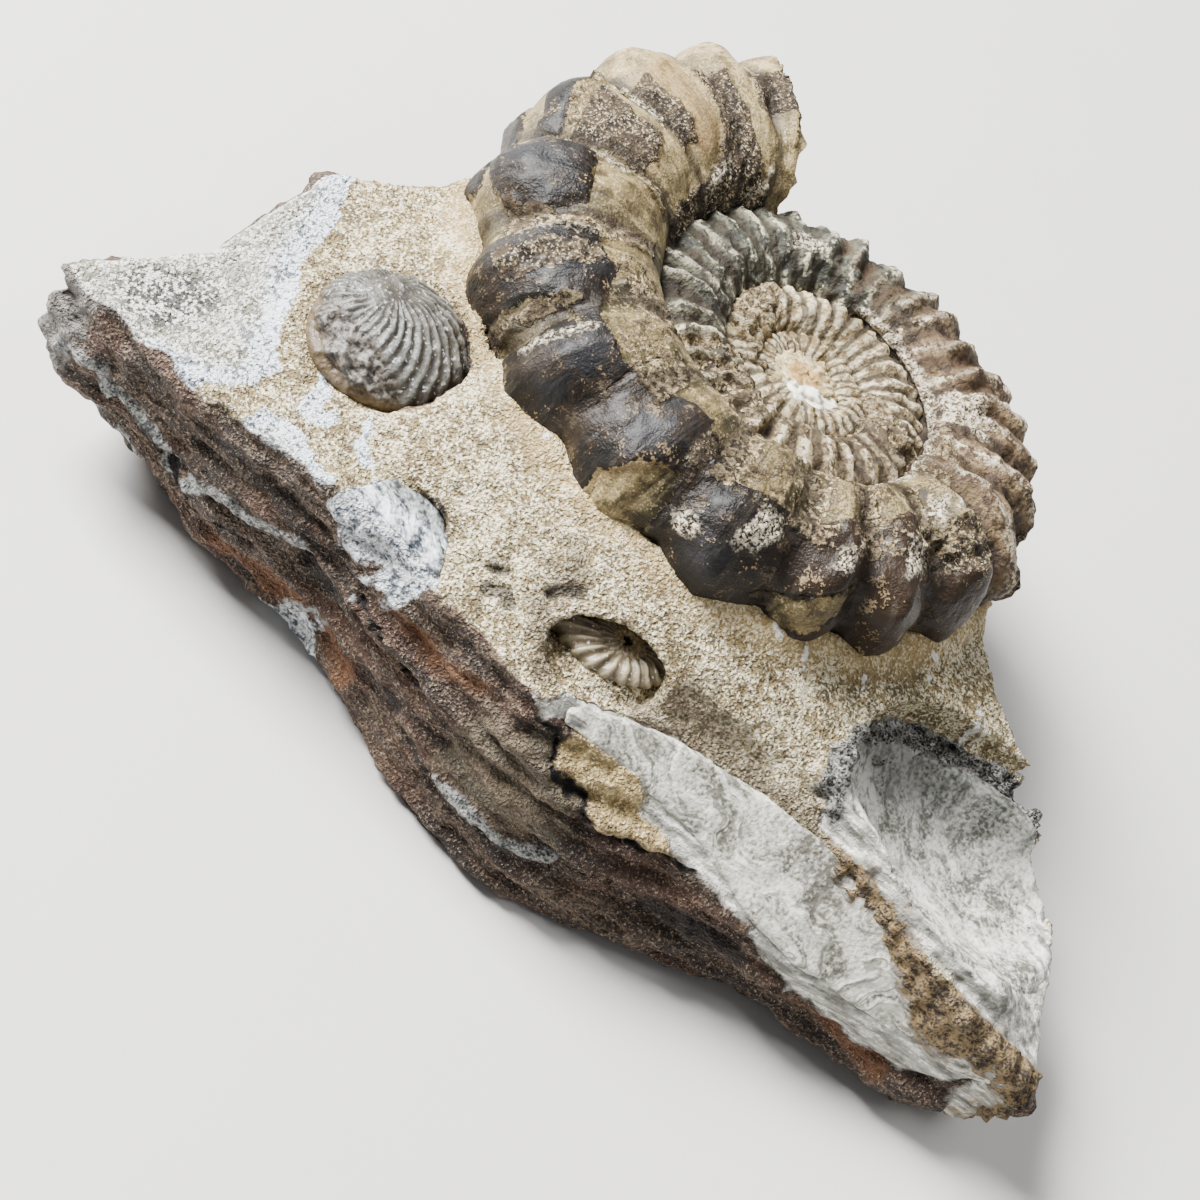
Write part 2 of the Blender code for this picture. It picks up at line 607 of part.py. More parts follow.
def make_lining(parts, cutters):
    """Shell that lines the hollow: a thin dish, ending where the rock itself ends."""
    grey = stone("lining_shell", (0.3, 0.31, 0.3), 0.45)
    lining = add_object("shell_lining", hollow(GAP), parts, grey, smooth=True)
    combine(lining, add_object("lining_limit", rock_block(), cutters), "INTERSECT")
    inside = add_object("lining_inside", hollow(GAP + LINING_THICKNESS), cutters)
    combine(lining, inside, "DIFFERENCE")
    combine(lining, add_object("lining_rim", rim_cutter(), cutters), "DIFFERENCE")
    return add_object("hollow", hollow(0.0), cutters)


def main():
    clear_scene()
    parts = new_collection("ammonite_fossil")
    cutters = new_collection("cutters", hidden=True)
    matrix = make_matrix(parts)
    make_ammonite(parts, cutters)
    pockets = [
        add_object("ammonite_bed", ammonite_bed(), cutters),
        make_lining(parts, cutters),
        make_shell_sheet(parts, cutters),
        make_small_ammonite(parts, cutters),
        make_pearly_scrap(parts, cutters),
        make_ribbed_shell(parts, cutters),
    ]
    for pocket in pockets:
        combine(matrix, pocket, "DIFFERENCE")


main()
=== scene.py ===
# %% [markdown]
# # A fossil ammonite on its piece of rock
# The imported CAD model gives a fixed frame. Each CAD node is a plain closed solid that stands for
# one natural piece: the rock, the coiled ammonite and five smaller fossils. This lesson makes a
# detailed piece for each of them, in the same place, and gives it a stone finish made of nodes.

import bmesh
import bpy
import numpy as np
from mathutils import Matrix, Vector, noise
from mathutils.bvhtree import BVHTree


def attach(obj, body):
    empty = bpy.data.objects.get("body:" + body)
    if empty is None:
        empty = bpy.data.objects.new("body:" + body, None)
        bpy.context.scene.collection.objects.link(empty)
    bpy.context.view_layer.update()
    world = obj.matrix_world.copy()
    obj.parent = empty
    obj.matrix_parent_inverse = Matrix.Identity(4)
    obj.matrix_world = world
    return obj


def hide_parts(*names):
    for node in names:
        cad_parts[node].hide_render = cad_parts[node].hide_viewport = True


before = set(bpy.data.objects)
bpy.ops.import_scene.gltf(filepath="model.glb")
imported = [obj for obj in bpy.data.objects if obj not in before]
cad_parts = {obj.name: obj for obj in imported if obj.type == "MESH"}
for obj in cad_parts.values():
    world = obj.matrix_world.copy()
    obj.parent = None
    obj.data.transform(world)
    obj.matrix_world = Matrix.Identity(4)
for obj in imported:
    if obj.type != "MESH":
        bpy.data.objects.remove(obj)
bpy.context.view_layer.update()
MM = 0.001
print("nodes:", sorted(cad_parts))

# %% [markdown]
# ## Camera
# The photograph looks down on the rock from the front at about 52 degrees, with the camera rolled,
# so that the length of the rock runs from the upper left to the lower right. The camera could be
# placed by hand, but a matrix of its three directions is exact and stays the same on each run.

# %% Camera
AIM = np.array((-2.9, -17.41, 15.5))  # the point in the middle of the picture, in mm
TO_RIGHT = np.array((0.7495, 0.4990, 0.4351))
TO_TOP = np.array((-0.6602, 0.6122, 0.4351))
TO_CAMERA = np.array((-0.0493, -0.6134, 0.7882))
CAMERA_DISTANCE = 147.2

camera = bpy.data.objects.new("camera", bpy.data.cameras.new("camera"))
bpy.context.scene.collection.objects.link(camera)
bpy.context.scene.camera = camera
camera.data.lens, camera.data.sensor_width = 70.0, 36.0
turned = Matrix(np.transpose((TO_RIGHT, TO_TOP, TO_CAMERA)).tolist()).to_4x4()
camera_place = Vector((AIM + TO_CAMERA * CAMERA_DISTANCE) * MM)
camera.matrix_world = Matrix.Translation(camera_place) @ turned
print("camera at", [round(value, 4) for value in camera_place])

# %% [markdown]
# ## Floor and light
# A pale floor and two large soft lamps, as in a small photo tent. The main lamp hangs beyond the
# top of the picture, so the ribs of the fossil catch it and their near sides stay darker. One lamp
# above the camera would be simpler, but it would flatten the ribs.

# %% Floor and light
FLOOR_SIZE = 3.0


def flat_floor():
    bm = bmesh.new()
    bmesh.ops.create_grid(bm, x_segments=1, y_segments=1, size=FLOOR_SIZE / 2)
    mesh = bpy.data.meshes.new("floor")
    bm.to_mesh(mesh)
    bm.free()
    floor = bpy.data.objects.new("floor", mesh)
    bpy.context.scene.collection.objects.link(floor)
    return floor


def soft_lamp(name, direction, away, size, power):
    """A square lamp that looks at the middle of the picture."""
    lamp = bpy.data.objects.new(name, bpy.data.lights.new(name, "AREA"))
    bpy.context.scene.collection.objects.link(lamp)
    lamp.data.size, lamp.data.energy = size, power
    direction = Vector(direction).normalized()
    lamp.location = Vector(AIM * MM) + direction * away
    lamp.rotation_euler = direction.to_track_quat("Z", "Y").to_euler()
    return lamp


floor = flat_floor()
soft_lamp("main_lamp", TO_TOP * 0.85 + TO_CAMERA * 0.5 - TO_RIGHT * 0.25, 0.6, 0.26, 22.0)
soft_lamp("side_lamp", TO_RIGHT * 0.9 + TO_CAMERA * 0.6 + TO_TOP * 0.2, 0.7, 0.35, 2.0)
world = bpy.data.worlds.new("studio")
world.use_nodes = True
background = world.node_tree.nodes["Background"]
background.inputs["Color"].default_value = (0.9, 0.93, 1.0, 1.0)
background.inputs["Strength"].default_value = 0.22
bpy.context.scene.world = world
print("floor", FLOOR_SIZE, "m wide, lamps:", len(bpy.data.lights))

# %% [markdown]
# ## Places, marks and noise
# A mesh made by a bmesh operator is bent with numpy, because thousands of points move by the same
# rule. Each finish is laid out as marks: how far, in millimetres, a point lies inside a patch that
# the photograph shows. A mark changes evenly over the surface, so the finish can cut it off at
# zero and get a crisp edge between two points of the mesh.

# %% Helpers for points
def places_of(mesh):
    flat = np.empty(len(mesh.vertices) * 3, np.float32)
    mesh.vertices.foreach_get("co", flat)
    return flat.reshape(-1, 3).astype(float) / MM


def facing_of(mesh):
    flat = np.empty(len(mesh.vertices) * 3, np.float32)
    mesh.vertex_normals.foreach_get("vector", flat)
    return flat.reshape(-1, 3).astype(float)


def move_to(mesh, places):
    mesh.vertices.foreach_set("co", (places * MM).astype(np.float32).ravel())
    mesh.update()


def mark(mesh, name, values):
    attribute = mesh.attributes.new(name, "FLOAT", "POINT")
    attribute.data.foreach_set("value", np.asarray(values, np.float32))


def lumps(places, size, depth=3, seed=0):
    """Cloudy noise, mostly between -0.6 and 0.6, with lumps of a size in mm (or one per axis)."""
    scaled = places / np.array(size, float) + 31.7 * seed
    return np.array([noise.fractal(spot, 1.0, 2.0, depth) for spot in scaled.tolist()])


def cracks(places, size, seed=0):
    """Distance to the nearest of scattered points: round chips with sharp creases between them."""
    scaled = places / np.array(size, float) + 17.3 * seed
    return np.array([noise.voronoi(spot)[0][0] for spot in scaled.tolist()])


def smoothstep(value):
    value = np.clip(value, 0.0, 1.0)
    return value * value * (3.0 - 2.0 * value)


# %% Helpers for patches
FAR = 50.0


def along_line(points, line):
    """How far each point is from a line of several points."""
    nearest = np.full(len(points), FAR)
    line = np.array(line, float)
    for start, end in zip(line[:-1], line[1:]):
        run = end - start
        share = np.clip((points - start) @ run / (run @ run), 0.0, 1.0)
        nearest = np.minimum(nearest, np.hypot(*(points - start - share[:, None] * run).T))
    return nearest


def in_patch(points, outline):
    """How far each point is inside an outline, negative outside."""
    outline = np.array(outline, float)
    inside = np.zeros(len(points), bool)
    for start, end in zip(outline, np.roll(outline, -1, axis=0)):
        crosses = (start[1] > points[:, 1]) != (end[1] > points[:, 1])
        rise = end[1] - start[1] if end[1] != start[1] else 1e-9
        meets = start[0] + (points[:, 1] - start[1]) * (end[0] - start[0]) / rise
        inside ^= crosses & (points[:, 0] < meets)
    away = along_line(points, [*outline, outline[0]])
    return np.where(inside, away, -away)


def patch_depth(points, shapes):
    """The deepest of several patches. A shape is an outline, or a line and its half width."""
    deepest = np.full(len(points), -FAR)
    for shape in shapes:
        if isinstance(shape[-1], float):
            depth = shape[-1] - along_line(points, shape[0])
        else:
            depth = in_patch(points, shape)
        deepest = np.maximum(deepest, depth)
    return deepest


# %% Helpers for pieces
def merged_node(node, out=0.0, shift=(0.0, 0.0, 0.0), rule=None):
    """A closed copy of a CAD node, its points moved out along their normals, in mm."""
    bm = bmesh.new()
    bm.from_mesh(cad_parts[node].data)
    bmesh.ops.remove_doubles(bm, verts=bm.verts, dist=1e-6)
    bm.normal_update()
    for vertex in bm.verts:
        amount = rule(vertex) if rule else out
        vertex.co += vertex.normal * amount * MM
    bmesh.ops.translate(bm, vec=Vector(shift) * MM, verts=bm.verts)
    return bm


def bent_grid(across, along, rule):
    """A grid of squares bent by a rule, its seam and its poles closed. The rule gets how far
    each point lies along the grid's two sides, 0 to 1, and gives its place in mm and its marks."""
    bm = bmesh.new()
    bmesh.ops.create_grid(bm, x_segments=across, y_segments=along, size=0.5)
    flat = np.array([vertex.co[:2] for vertex in bm.verts]) + 0.5
    places, marks = rule(flat[:, 0], flat[:, 1])
    number = bm.verts.layers.int.new("number")
    for index, (vertex, place) in enumerate(zip(bm.verts, (places * MM).tolist())):
        vertex.co = place
        vertex[number] = index
    bmesh.ops.remove_doubles(bm, verts=bm.verts, dist=1e-6)
    bmesh.ops.recalc_face_normals(bm, faces=bm.faces)
    return bm, marks


def new_piece(name, bm, marks=None, sharp=None):
    """An object that rides on the rock's body, from a finished bmesh."""
    mesh = bpy.data.meshes.new(name)
    bm.to_mesh(mesh)
    bm.free()
    if marks is not None:
        kept = np.empty(len(mesh.vertices), np.int32)
        mesh.attributes["number"].data.foreach_get("value", kept)
        mesh.attributes.remove(mesh.attributes["number"])
        for label, values in marks.items():
            mark(mesh, label, values[kept])
    mesh.polygons.foreach_set("use_smooth", [True] * len(mesh.polygons))
    if sharp is not None:
        mesh.set_sharp_from_angle(angle=np.radians(sharp))
    piece = bpy.data.objects.new(name, mesh)
    bpy.context.scene.collection.objects.link(piece)
    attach(piece, "root")
    return piece


def as_voxels(name, bms, voxel, smooth_rounds=0):
    """Several overlapping closed bmeshes cast into one even skin."""
    joined = bmesh.new()
    for bm in bms:
        part = bpy.data.meshes.new("part")
        bm.to_mesh(part)
        bm.free()
        joined.from_mesh(part)
        bpy.data.meshes.remove(part)
    piece = new_piece(name, joined)
    remesh = piece.modifiers.new("skin", "REMESH")
    remesh.mode, remesh.voxel_size, remesh.use_smooth_shade = "VOXEL", voxel * MM, True
    ready = piece.evaluated_get(bpy.context.evaluated_depsgraph_get())
    mesh = bpy.data.meshes.new_from_object(ready)
    piece.modifiers.clear()
    bm = bmesh.new()
    bm.from_mesh(mesh)
    for _ in range(smooth_rounds):
        bmesh.ops.smooth_vert(bm, verts=bm.verts, factor=0.5, use_axis_x=True, use_axis_y=True,
                              use_axis_z=True)
    bm.to_mesh(piece.data)
    bm.free()
    piece.data.polygons.foreach_set("use_smooth", [True] * len(piece.data.polygons))
    print(name, "has", len(piece.data.polygons), "faces")
    return piece


# %% [markdown]
# ## The coil
# The ammonite is a tube that winds round its axis, and its radius shrinks by the same share in
# each turn: a logarithmic spiral. A point of the shell is given by two numbers: how many turns
# back from the mouth it lies, and the angle round the tube from its outer face. The same numbers
# place the ribs and the patches of shell.

# %% The coil's rule
COIL_CENTRE = np.array((-1.9, 7.09, 16.9))
COIL_NORMAL = np.array((-0.027, 0.161, 0.987))
COIL_NORMAL /= np.linalg.norm(COIL_NORMAL)
COIL_FIRST = np.array((0.8755, 0.4833, 0.0))
COIL_FIRST -= COIL_NORMAL * (COIL_FIRST @ COIL_NORMAL)
COIL_FIRST /= np.linalg.norm(COIL_FIRST)
COIL_SECOND = np.cross(COIL_NORMAL, COIL_FIRST)
FIRST_HEADING, MOUTH_ANGLE, MOUTH_RADIUS, WHORL_RATE = 28.9, 96.0, 28.9, 1.86
HALF_HEIGHT, HALF_WIDTH, SQUARENESS = 0.262, 0.237, 0.9
RIB_CRESTS = (0.012, 0.043, 0.082, 0.135, 0.195, 0.255, 0.31, 0.365, 0.425, 0.478, 0.525,
              0.582, 0.63, 0.672, 0.71, 0.745, 0.777, 0.808)
RIB_STEP, RIBBED_TURNS = 0.031, 6.0
SHARP_EDGE = 50  # degrees, past which an edge of a shell is shaded as a crease
crests = np.concatenate([RIB_CRESTS, np.arange(0.839, RIBBED_TURNS, RIB_STEP)])


def coil_radius(turn):
    return MOUTH_RADIUS * WHORL_RATE ** -turn


def squared(value):
    return np.sign(value) * np.abs(value) ** SQUARENESS


def rib_wave(turn):
    """1 on a crest and -1 in the narrow groove between two ribs."""
    phase = np.interp(turn, crests, np.arange(len(crests)), left=-0.35)
    crest = 0.5 + 0.5 * np.cos(2.0 * np.pi * phase)
    return 2.0 * crest ** np.interp(turn, (0.15, 0.3, 0.55, 0.72), (0.65, 0.85, 0.8, 1.1)) - 1.0


def rib_height(turn, around):
    """How far a full rib stands out, in mm; it dies out on the inner face of the tube."""
    strength = np.interp(turn, (0.4, 0.48, 0.6, 0.7, 1.0, 1.5, 3.0),
                         (0.026, 0.036, 0.036, 0.026, 0.024, 0.017, 0.012))
    faded = np.interp(turn, (0.15, 0.2, 0.36, 0.46, 0.65), (0.3, 0.55, 0.5, 0.15, 0.2))
    flank = smoothstep((np.cos(around) + 0.75) / 0.7)
    flank *= 1.0 - faded * (1.0 - smoothstep(np.cos(around)))
    return strength * coil_radius(turn) * flank


def coil_places(turn, around, rise, share=1.0):
    """Places of the shell, raised by rise; share shrinks the section for the closed ends."""
    radius = coil_radius(turn)
    angle = np.radians(MOUTH_ANGLE) + 2.0 * np.pi * turn
    outward = np.cos(angle)[:, None] * COIL_FIRST + np.sin(angle)[:, None] * COIL_SECOND
    height = HALF_HEIGHT * radius
    along = radius - height + share * (height + rise) * squared(np.cos(around))
    aside = share * (HALF_WIDTH * radius + rise) * squared(np.sin(around))
    return COIL_CENTRE + outward * along[:, None] + COIL_NORMAL * aside[:, None]


print("ribs on the outer whorl:", int(np.sum(crests < 1.0)))

# %% [markdown]
# ## Patches of the ammonite's shell
# Much of the outer whorl has kept its dark shell; elsewhere it has flaked off and the smooth stone
# cast shows, and sand still sticks to it. The patches could be painted on an image, but outlines
# given in turns and degrees follow the ribs and stay sharp. A patch is measured in millimetres at
# its own place on the coil.

# %% Patches of the shell
SHELL_PATCHES = {
    "dark": [
        [(.178, 78), (.184, 82), (.216, 82), (.221, 68), (.224, 35), (.21, 20), (.192, 15),
         (.182, 25), (.182, 56)],
        [(.12, 30), (.121, 50), (.168, 50), (.168, 28)],
        [(.24, -40), (.243, 40), (.24, 85), (.268, 90), (.298, 70), (.33, 70), (.355, 88),
         (.375, 90), (.385, 76), (.41, 70), (.45, 74), (.5, 88), (.53, 96), (.6, 84),
         (.62, 15), (.62, -40)],
        [(.13, -60), (.13, 5), (.16, 12), (.2, 6), (.2, -60)],
    ],
    "mould": [
        [(.273, -8), (.275, 30), (.28, 58), (.292, 55), (.294, 20), (.291, -8)],
        [(.360, -20), (.359, 15), (.366, 27), (.374, 44), (.385, 50), (.391, 30), (.39, -20)],
        [(.447, 3), (.487, 40), (.492, 20), (.485, 0), (.47, -12)],
        [(.535, 5), (.55, 30), (.56, 8), (.55, -6)],
    ],
    "mottled": [
        [(.05, 75), (.048, 110), (.04, 140), (.03, 150), (.03, 172), (.168, 172), (.165, 140),
         (.12, 138), (.085, 130), (.075, 110), (.075, 75)],
        [(.098, 65), (.098, 112), (.115, 112), (.116, 65)],
        [(.13, 60), (.135, 100), (.15, 108), (.17, 104), (.172, 60)],
        [(.008, 73), (.007, 100), (.036, 100), (.038, 75)],
        [(.252, 20), (.25, 86), (.265, 86), (.266, 22)],
        [(.38, 58), (.379, 84), (.39, 86), (.392, 60)],
        [(.53, 50), (.54, 90), (.6, 84), (.6, 50)],
        [(.63, -30), (.63, 22), (.7, 18), (.8, 10), (.9, 10), (.9, -40)],
    ],
    "crust": [
        [(.215, 25), (.225, 70), (.217, 126), (.23, 128), (.243, 90), (.241, 28)],
        ([(.28, 0), (.282, 30), (.281, 62)], 0.5),
        [(.305, 70), (.3, 96), (.31, 112), (.345, 112), (.352, 72)],
        [(.395, 62), (.39, 90), (.395, 125), (.44, 130), (.45, 62)],
        [(.45, 60), (.45, 125), (.6, 125), (.6, 62), (.53, 72), (.5, 62)],
        [(.12, 50), (.12, 60), (.168, 60), (.168, 50)],
        [(.6, 110), (.6, 175), (.68, 175), (.70, 130)],
        [(1.28, 40), (1.28, 150), (1.36, 150), (1.4, 80)], [(1.62, 60), (1.6, 160), (1.75, 150)],
        [(2.05, 40), (2.05, 160), (2.3, 160), (2.2, 60)],
        [(.165, 104), (.165, 130), (.175, 130), (.178, 104)],
        [(.25, 92), (.26, 120), (.3, 130), (.3, 96)],
    ],
    "white": [
        ([(.075, 131), (.103, 143)], 0.45),
        ([(.1165, 60), (.117, 98)], 0.3),
        ([(.173, 55), (.177, 80), (.176, 97)], 0.35),
        ([(.297, 14), (.3, 40), (.303, 64)], 0.22),
        ([(.401, 25), (.4015, 26)], 0.75),
        [(.421, 32), (.428, 62), (.438, 68), (.442, 55), (.436, 38)],
        [(.474, 47), (.475, 62), (.484, 63), (.484, 48)],
        [(.521, 52), (.523, 78), (.535, 80), (.539, 60)],
        [(.561, 90), (.562, 105), (.579, 104), (.578, 91)],
        ([(.587, 92), (.5875, 104)], 0.4),
        [(.70, 98), (.705, 138), (.745, 140), (.755, 118), (.75, 96)],
        [(.972, 93), (.975, 110), (1.014, 108), (1.012, 94)],
        ([(.53, 148), (.7, 147), (.9, 146)], 0.4),
        ([(.03, 137), (.036, 146), (.05, 150)], 0.3),
        ([(.242, 40), (.243, 84)], 0.15),
    ],
    # painted sheen: where the dark shell gets a painted bluish reflection on its rib crests
    "painted_sheen": [
        [(.258, 20), (.257, 86), (.269, 88), (.27, 22)],
        [(.309, 12), (.31, 68), (.326, 66), (.327, 14)],
        [(.352, 45), (.352, 86), (.372, 86), (.371, 46)],
        [(.41, 3), (.411, 30), (.426, 30), (.427, 5)],
        [(.186, 30), (.187, 70), (.205, 66), (.2, 30)],
        [(.245, 25), (.246, 60), (.252, 60), (.251, 25)],
    ],
    "rust": [
        [(.078, 60), (.079, 125), (.1, 122), (.1, 62)],
        ([(.106, 109), (.11, 114)], 0.35),
        ([(.145, 107), (.158, 109)], 0.4),
        [(.60, 140), (.60, 165), (.70, 163), (.70, 142)],
        ([(.358, 0), (.359, 15), (.366, 27), (.374, 44), (.382, 47)], 0.3),
        [(.616, 20), (.617, 55), (.634, 54), (.634, 22)],
    ],
    "crack_and_shadow": [
        # the first line is a painted shadow band below the white seam where the whorls meet; the
        # rest are cracks
        ([(.53, 158), (.7, 157), (.9, 156)], 0.3),
        ([(.1185, 60), (.119, 98)], 0.1),
        ([(.12, 59), (.168, 59)], 0.12),
        ([(.326, 90), (.333, 50)], 0.1),
        ([(.495, 68), (.5, 100), (.512, 134)], 0.14),
        ([(.487, 40), (.447, 5)], 0.1),
        ([(.216, 82), (.184, 82), (.178, 78), (.182, 56)], 0.1),
    ],
}
print("patches on the shell:", sum(len(patches) for patches in SHELL_PATCHES.values()))

# %% Depth of the patches
TURN_LENGTH, DEGREE_LENGTH, AT_RADIUS = 150.0, 0.115, 25.0  # mm on the shell
OUTSIDE = -3.0  # the mark of a point that is far from a patch


def shell_marks(turn, around):
    """The depth of each sort of patch, for points given by turns and radians."""
    spots = np.transpose((turn, np.degrees(around)))
    marks = {}
    for name, patches in SHELL_PATCHES.items():
        deepest = np.full(len(turn), OUTSIDE)
        for patch in patches:
            is_line = isinstance(patch[-1], float)
            points = np.array(patch[0] if is_line else patch, float)
            scale = np.array((TURN_LENGTH, DEGREE_LENGTH))
            scale = scale * coil_radius(points[:, 0].mean()) / AT_RADIUS
            near = np.abs(turn - points[:, 0].mean()) < np.ptp(points[:, 0]) / 2 + 0.06
            shape = (points * scale, patch[1]) if is_line else [*(points * scale)]
            depth = patch_depth(spots[near] * scale, [shape])
            deepest[near] = np.maximum(deepest[near], depth)
        marks[name] = deepest
    return marks


# %% [markdown]
# ## The outer whorl
# The last full turn of the shell, from its broken mouth. It could be one long extrusion, but a
# grid bent by the coil's rule gives each point its turn and angle at once, which the ribs and the
# patches need. The grid's last rows shrink to a point and close the tube at both ends.

# %% The outer whorl
OUTER_ENDS, OUTER_SECTIONS, OUTER_POINTS = (0.006, 0.985), 690, 128
CAP_SECTIONS = 8  # at each end of a tube
AROUND_STOPS = ((0.0, 0.12, 0.88, 1.0), (-180.0, -75.0, 170.0, 180.0))
# how much thinner the real shell is than an even spiral, at some turns
TRIM = ((0.0, 0.1, 0.15, 0.2, 0.3, 0.45, 0.55, 0.7, 0.8, 0.93, 1.05, 1.2),
        (0.0, 0.2, 0.6, 0.3, 0.0, 0.0, 0.4, 0.1, 0.4, 0.6, 0.3, 0.0))


def evenly(start, end, share):
    """Turns at an even spacing along the shell, which gets shorter with each turn."""
    far = WHORL_RATE ** -start + share * (WHORL_RATE ** -end - WHORL_RATE ** -start)
    return -np.log(far) / np.log(WHORL_RATE)


def capped(u, start, end, sections):
    """The turn and the section's share for each column, with closed ends."""
    columns = sections + 2 * CAP_SECTIONS
    column = np.round(u * columns)
    share = np.clip(np.minimum(column, columns - column) / CAP_SECTIONS, 0.0, 1.0)
    turn = evenly(start, end, np.clip((column - CAP_SECTIONS) / sections, 0.0, 1.0))
    return turn, share ** 0.8


def shell_relief(turn, around, marks):
    """How far the surface stands out from the smooth tube, in mm."""
    flat = coil_places(turn, around, 0.0)
    old = smoothstep((turn - 0.58) / 0.1)
    waver = (0.006 + 0.006 * old) * lumps(flat, 5.0, 2, 3)
    uneven = 1.0 + (0.9 + 0.7 * old) * lumps(flat, 4.0, 2, 4)
    marks["rib"] = rib_wave(turn + waver)
    rise = rib_height(turn, around) * marks["rib"] * uneven
    rise -= np.interp(turn, *TRIM) * smoothstep(np.cos(around) + 0.4)
    fine = lumps(flat, 0.7, 2, 1)
    middle = lumps(flat, 2.2, 3, 2)
    edge = middle * 0.8 + fine * 0.3

    def step(name, width=0.25):
        return smoothstep((marks[name] + edge * 0.6) / width + 0.5)

    shell = np.maximum(step("dark") * (1.0 - step("mould")), step("mottled"))
    rise += 0.24 * shell * (1.0 - old) + 0.12 * middle + 0.06 * fine
    rise += step("mottled") * (0.18 * fine + 0.1 * middle)
    rise += step("crust") * (0.12 + 0.2 * fine + 0.15 * middle)
    rise += step("white") * (0.05 + 0.06 * fine)
    rise += old * (0.16 * fine + 0.22 * middle) - 0.2 * step("crack_and_shadow", 0.15)
    return rise


def whorl(turn, around, share, sunk=0.0):
    """Places and marks of a stretch of the shell, sunk by some mm."""
    marks = shell_marks(turn, around)
    rise = shell_relief(turn, around, marks) - sunk
    marks.update(turn=turn, top=np.sin(around), end=1.0 - share)
    return coil_places(turn, around, rise, share), marks


def outer_rule(u, v):
    turn, share = capped(u, *OUTER_ENDS, OUTER_SECTIONS)
    around = np.radians(np.interp(v, *AROUND_STOPS))
    # the mouth is broken to a ragged edge and its fill is rough
    ring = np.transpose((np.cos(around), np.sin(around), 0.0 * around)) * 7.0
    ragged = 0.010 * (lumps(ring + share[:, None] * 3.0, 2.4, 3, 5) + 0.3)
    turn = turn + ragged * smoothstep(1.0 - (turn - OUTER_ENDS[0]) / 0.04)
    return whorl(turn, around, share)


# %% The outer whorl's piece
outer_columns = OUTER_SECTIONS + 2 * CAP_SECTIONS
outer_grid = bent_grid(outer_columns, OUTER_POINTS, outer_rule)
outer_whorl = new_piece("outer_whorl", *outer_grid, sharp=SHARP_EDGE)
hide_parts("ammonite")
print("outer whorl:", len(outer_whorl.data.polygons), "faces")

# %% [markdown]
# ## The inner whorls
# The older turns lie in the hollow middle of the coil, half covered by the last one. They could be
# a second model, but the same rule, wound on until the tube is too small to see, makes them fit
# the last turn. A low cap of sand sits in the very middle.

# %% The inner whorls
INNER_ENDS, INNER_SECTIONS, INNER_POINTS = (0.965, 4.6), 640, 76
TUCKED = 0.12  # mm that their first end lies under the skin of the outer whorl


def inner_rule(u, v):
    turn, share = capped(u, *INNER_ENDS, INNER_SECTIONS)
    around = np.radians(np.interp(v, *AROUND_STOPS))
    return whorl(turn, around, share, np.where(turn < OUTER_ENDS[1], TUCKED, 0.0))


inner_columns = INNER_SECTIONS + 2 * CAP_SECTIONS
inner_grid = bent_grid(inner_columns, INNER_POINTS, inner_rule)
inner_whorls = new_piece("inner_whorls", *inner_grid, sharp=SHARP_EDGE)
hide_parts("ammonite")
print("inner whorls:", len(inner_whorls.data.polygons), "faces")

# %% The middle of the coil
CORE_HALF = (3.5, 3.3, 1.15)
CORE_AROUND, CORE_UP = 96, 48  # faces of the ball it is made from

bm = bmesh.new()
bmesh.ops.create_uvsphere(bm, u_segments=CORE_AROUND, v_segments=CORE_UP, radius=1.0)
bmesh.ops.scale(bm, vec=Vector(CORE_HALF) * MM, verts=bm.verts)
core = new_piece("coil_core", bm)
places = places_of(core.data)
mark(core.data, "across", places[:, 0])
mark(core.data, "up", places[:, 1])
places += places * (0.26 * lumps(places, 1.0, 3, 6) + 0.16 * lumps(places, 0.45, 2, 7))[:, None]
axes = np.stack((COIL_FIRST, COIL_SECOND, COIL_NORMAL))
move_to(core.data, COIL_CENTRE + places @ axes)
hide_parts("ammonite")
print("coil core:", len(core.data.polygons), "faces")

# %% [markdown]
# ## The rock
# A broken piece of sandy limestone: a flat bedding face on top, rough laminated sides. The CAD
# solid has a pocket with a clear gap for each fossil; in the real piece sand fills those gaps. The
# gaps are filled first, then everything is cast into one even skin of small faces, which has
# enough points for the noise that breaks up its flat facets.

# %% The bedding face
FACE_HEIGHT = 15.5
LIP_HEADING, LIP_WIDTH = 235.0, 10.0


def turn_at(heading):
    """The part of the last turn that lies in a direction, given in degrees."""
    return ((heading - FIRST_HEADING - MOUTH_ANGLE) % 360) / 360


def bedding_height(spots):
    """Height of the bedding face: it falls to both ends and rises in a lip at the ammonite."""
    base = FACE_HEIGHT - 0.11 * np.maximum(0.0, -20.0 - spots[:, 0])
    base = base - 0.17 * np.maximum(0.0, spots[:, 0] - 18.0)
    away = spots[:, :2] - COIL_CENTRE[:2]
    heading = np.degrees(np.arctan2(away[:, 1], away[:, 0]))
    outside = np.hypot(*away.T) - coil_radius(turn_at(heading))
    sunk = COIL_CENTRE[2] - away @ COIL_NORMAL[:2] / COIL_NORMAL[2] - 1.0
    facing = 0.5 + 0.5 * np.cos(np.radians(heading - LIP_HEADING))
    lip = base + (sunk - base) * facing * smoothstep(1.0 - outside / LIP_WIDTH)
    return np.where(outside < -2.0, np.minimum(lip, sunk - 0.5), lip), outside


print("the face far from the coil is", FACE_HEIGHT, "mm high")

# %% Sand that fills the ammonite's bed
rock_node = BVHTree.FromObject(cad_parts["matrix"], bpy.context.evaluated_depsgraph_get())
FILL_FLOOR, FILL_REACH = 8.0, 1.3
FILL_SPOKES, FILL_ROWS, FLOOR_ROWS = 144, 26, 3
LOW_EDGE = 13.2  # the fill's height where the bed is open at the back
DOWN, FROM_ABOVE, FROM_AFAR = Vector((0, 0, -1)), Vector((0, 0, 0.1)), 0.1


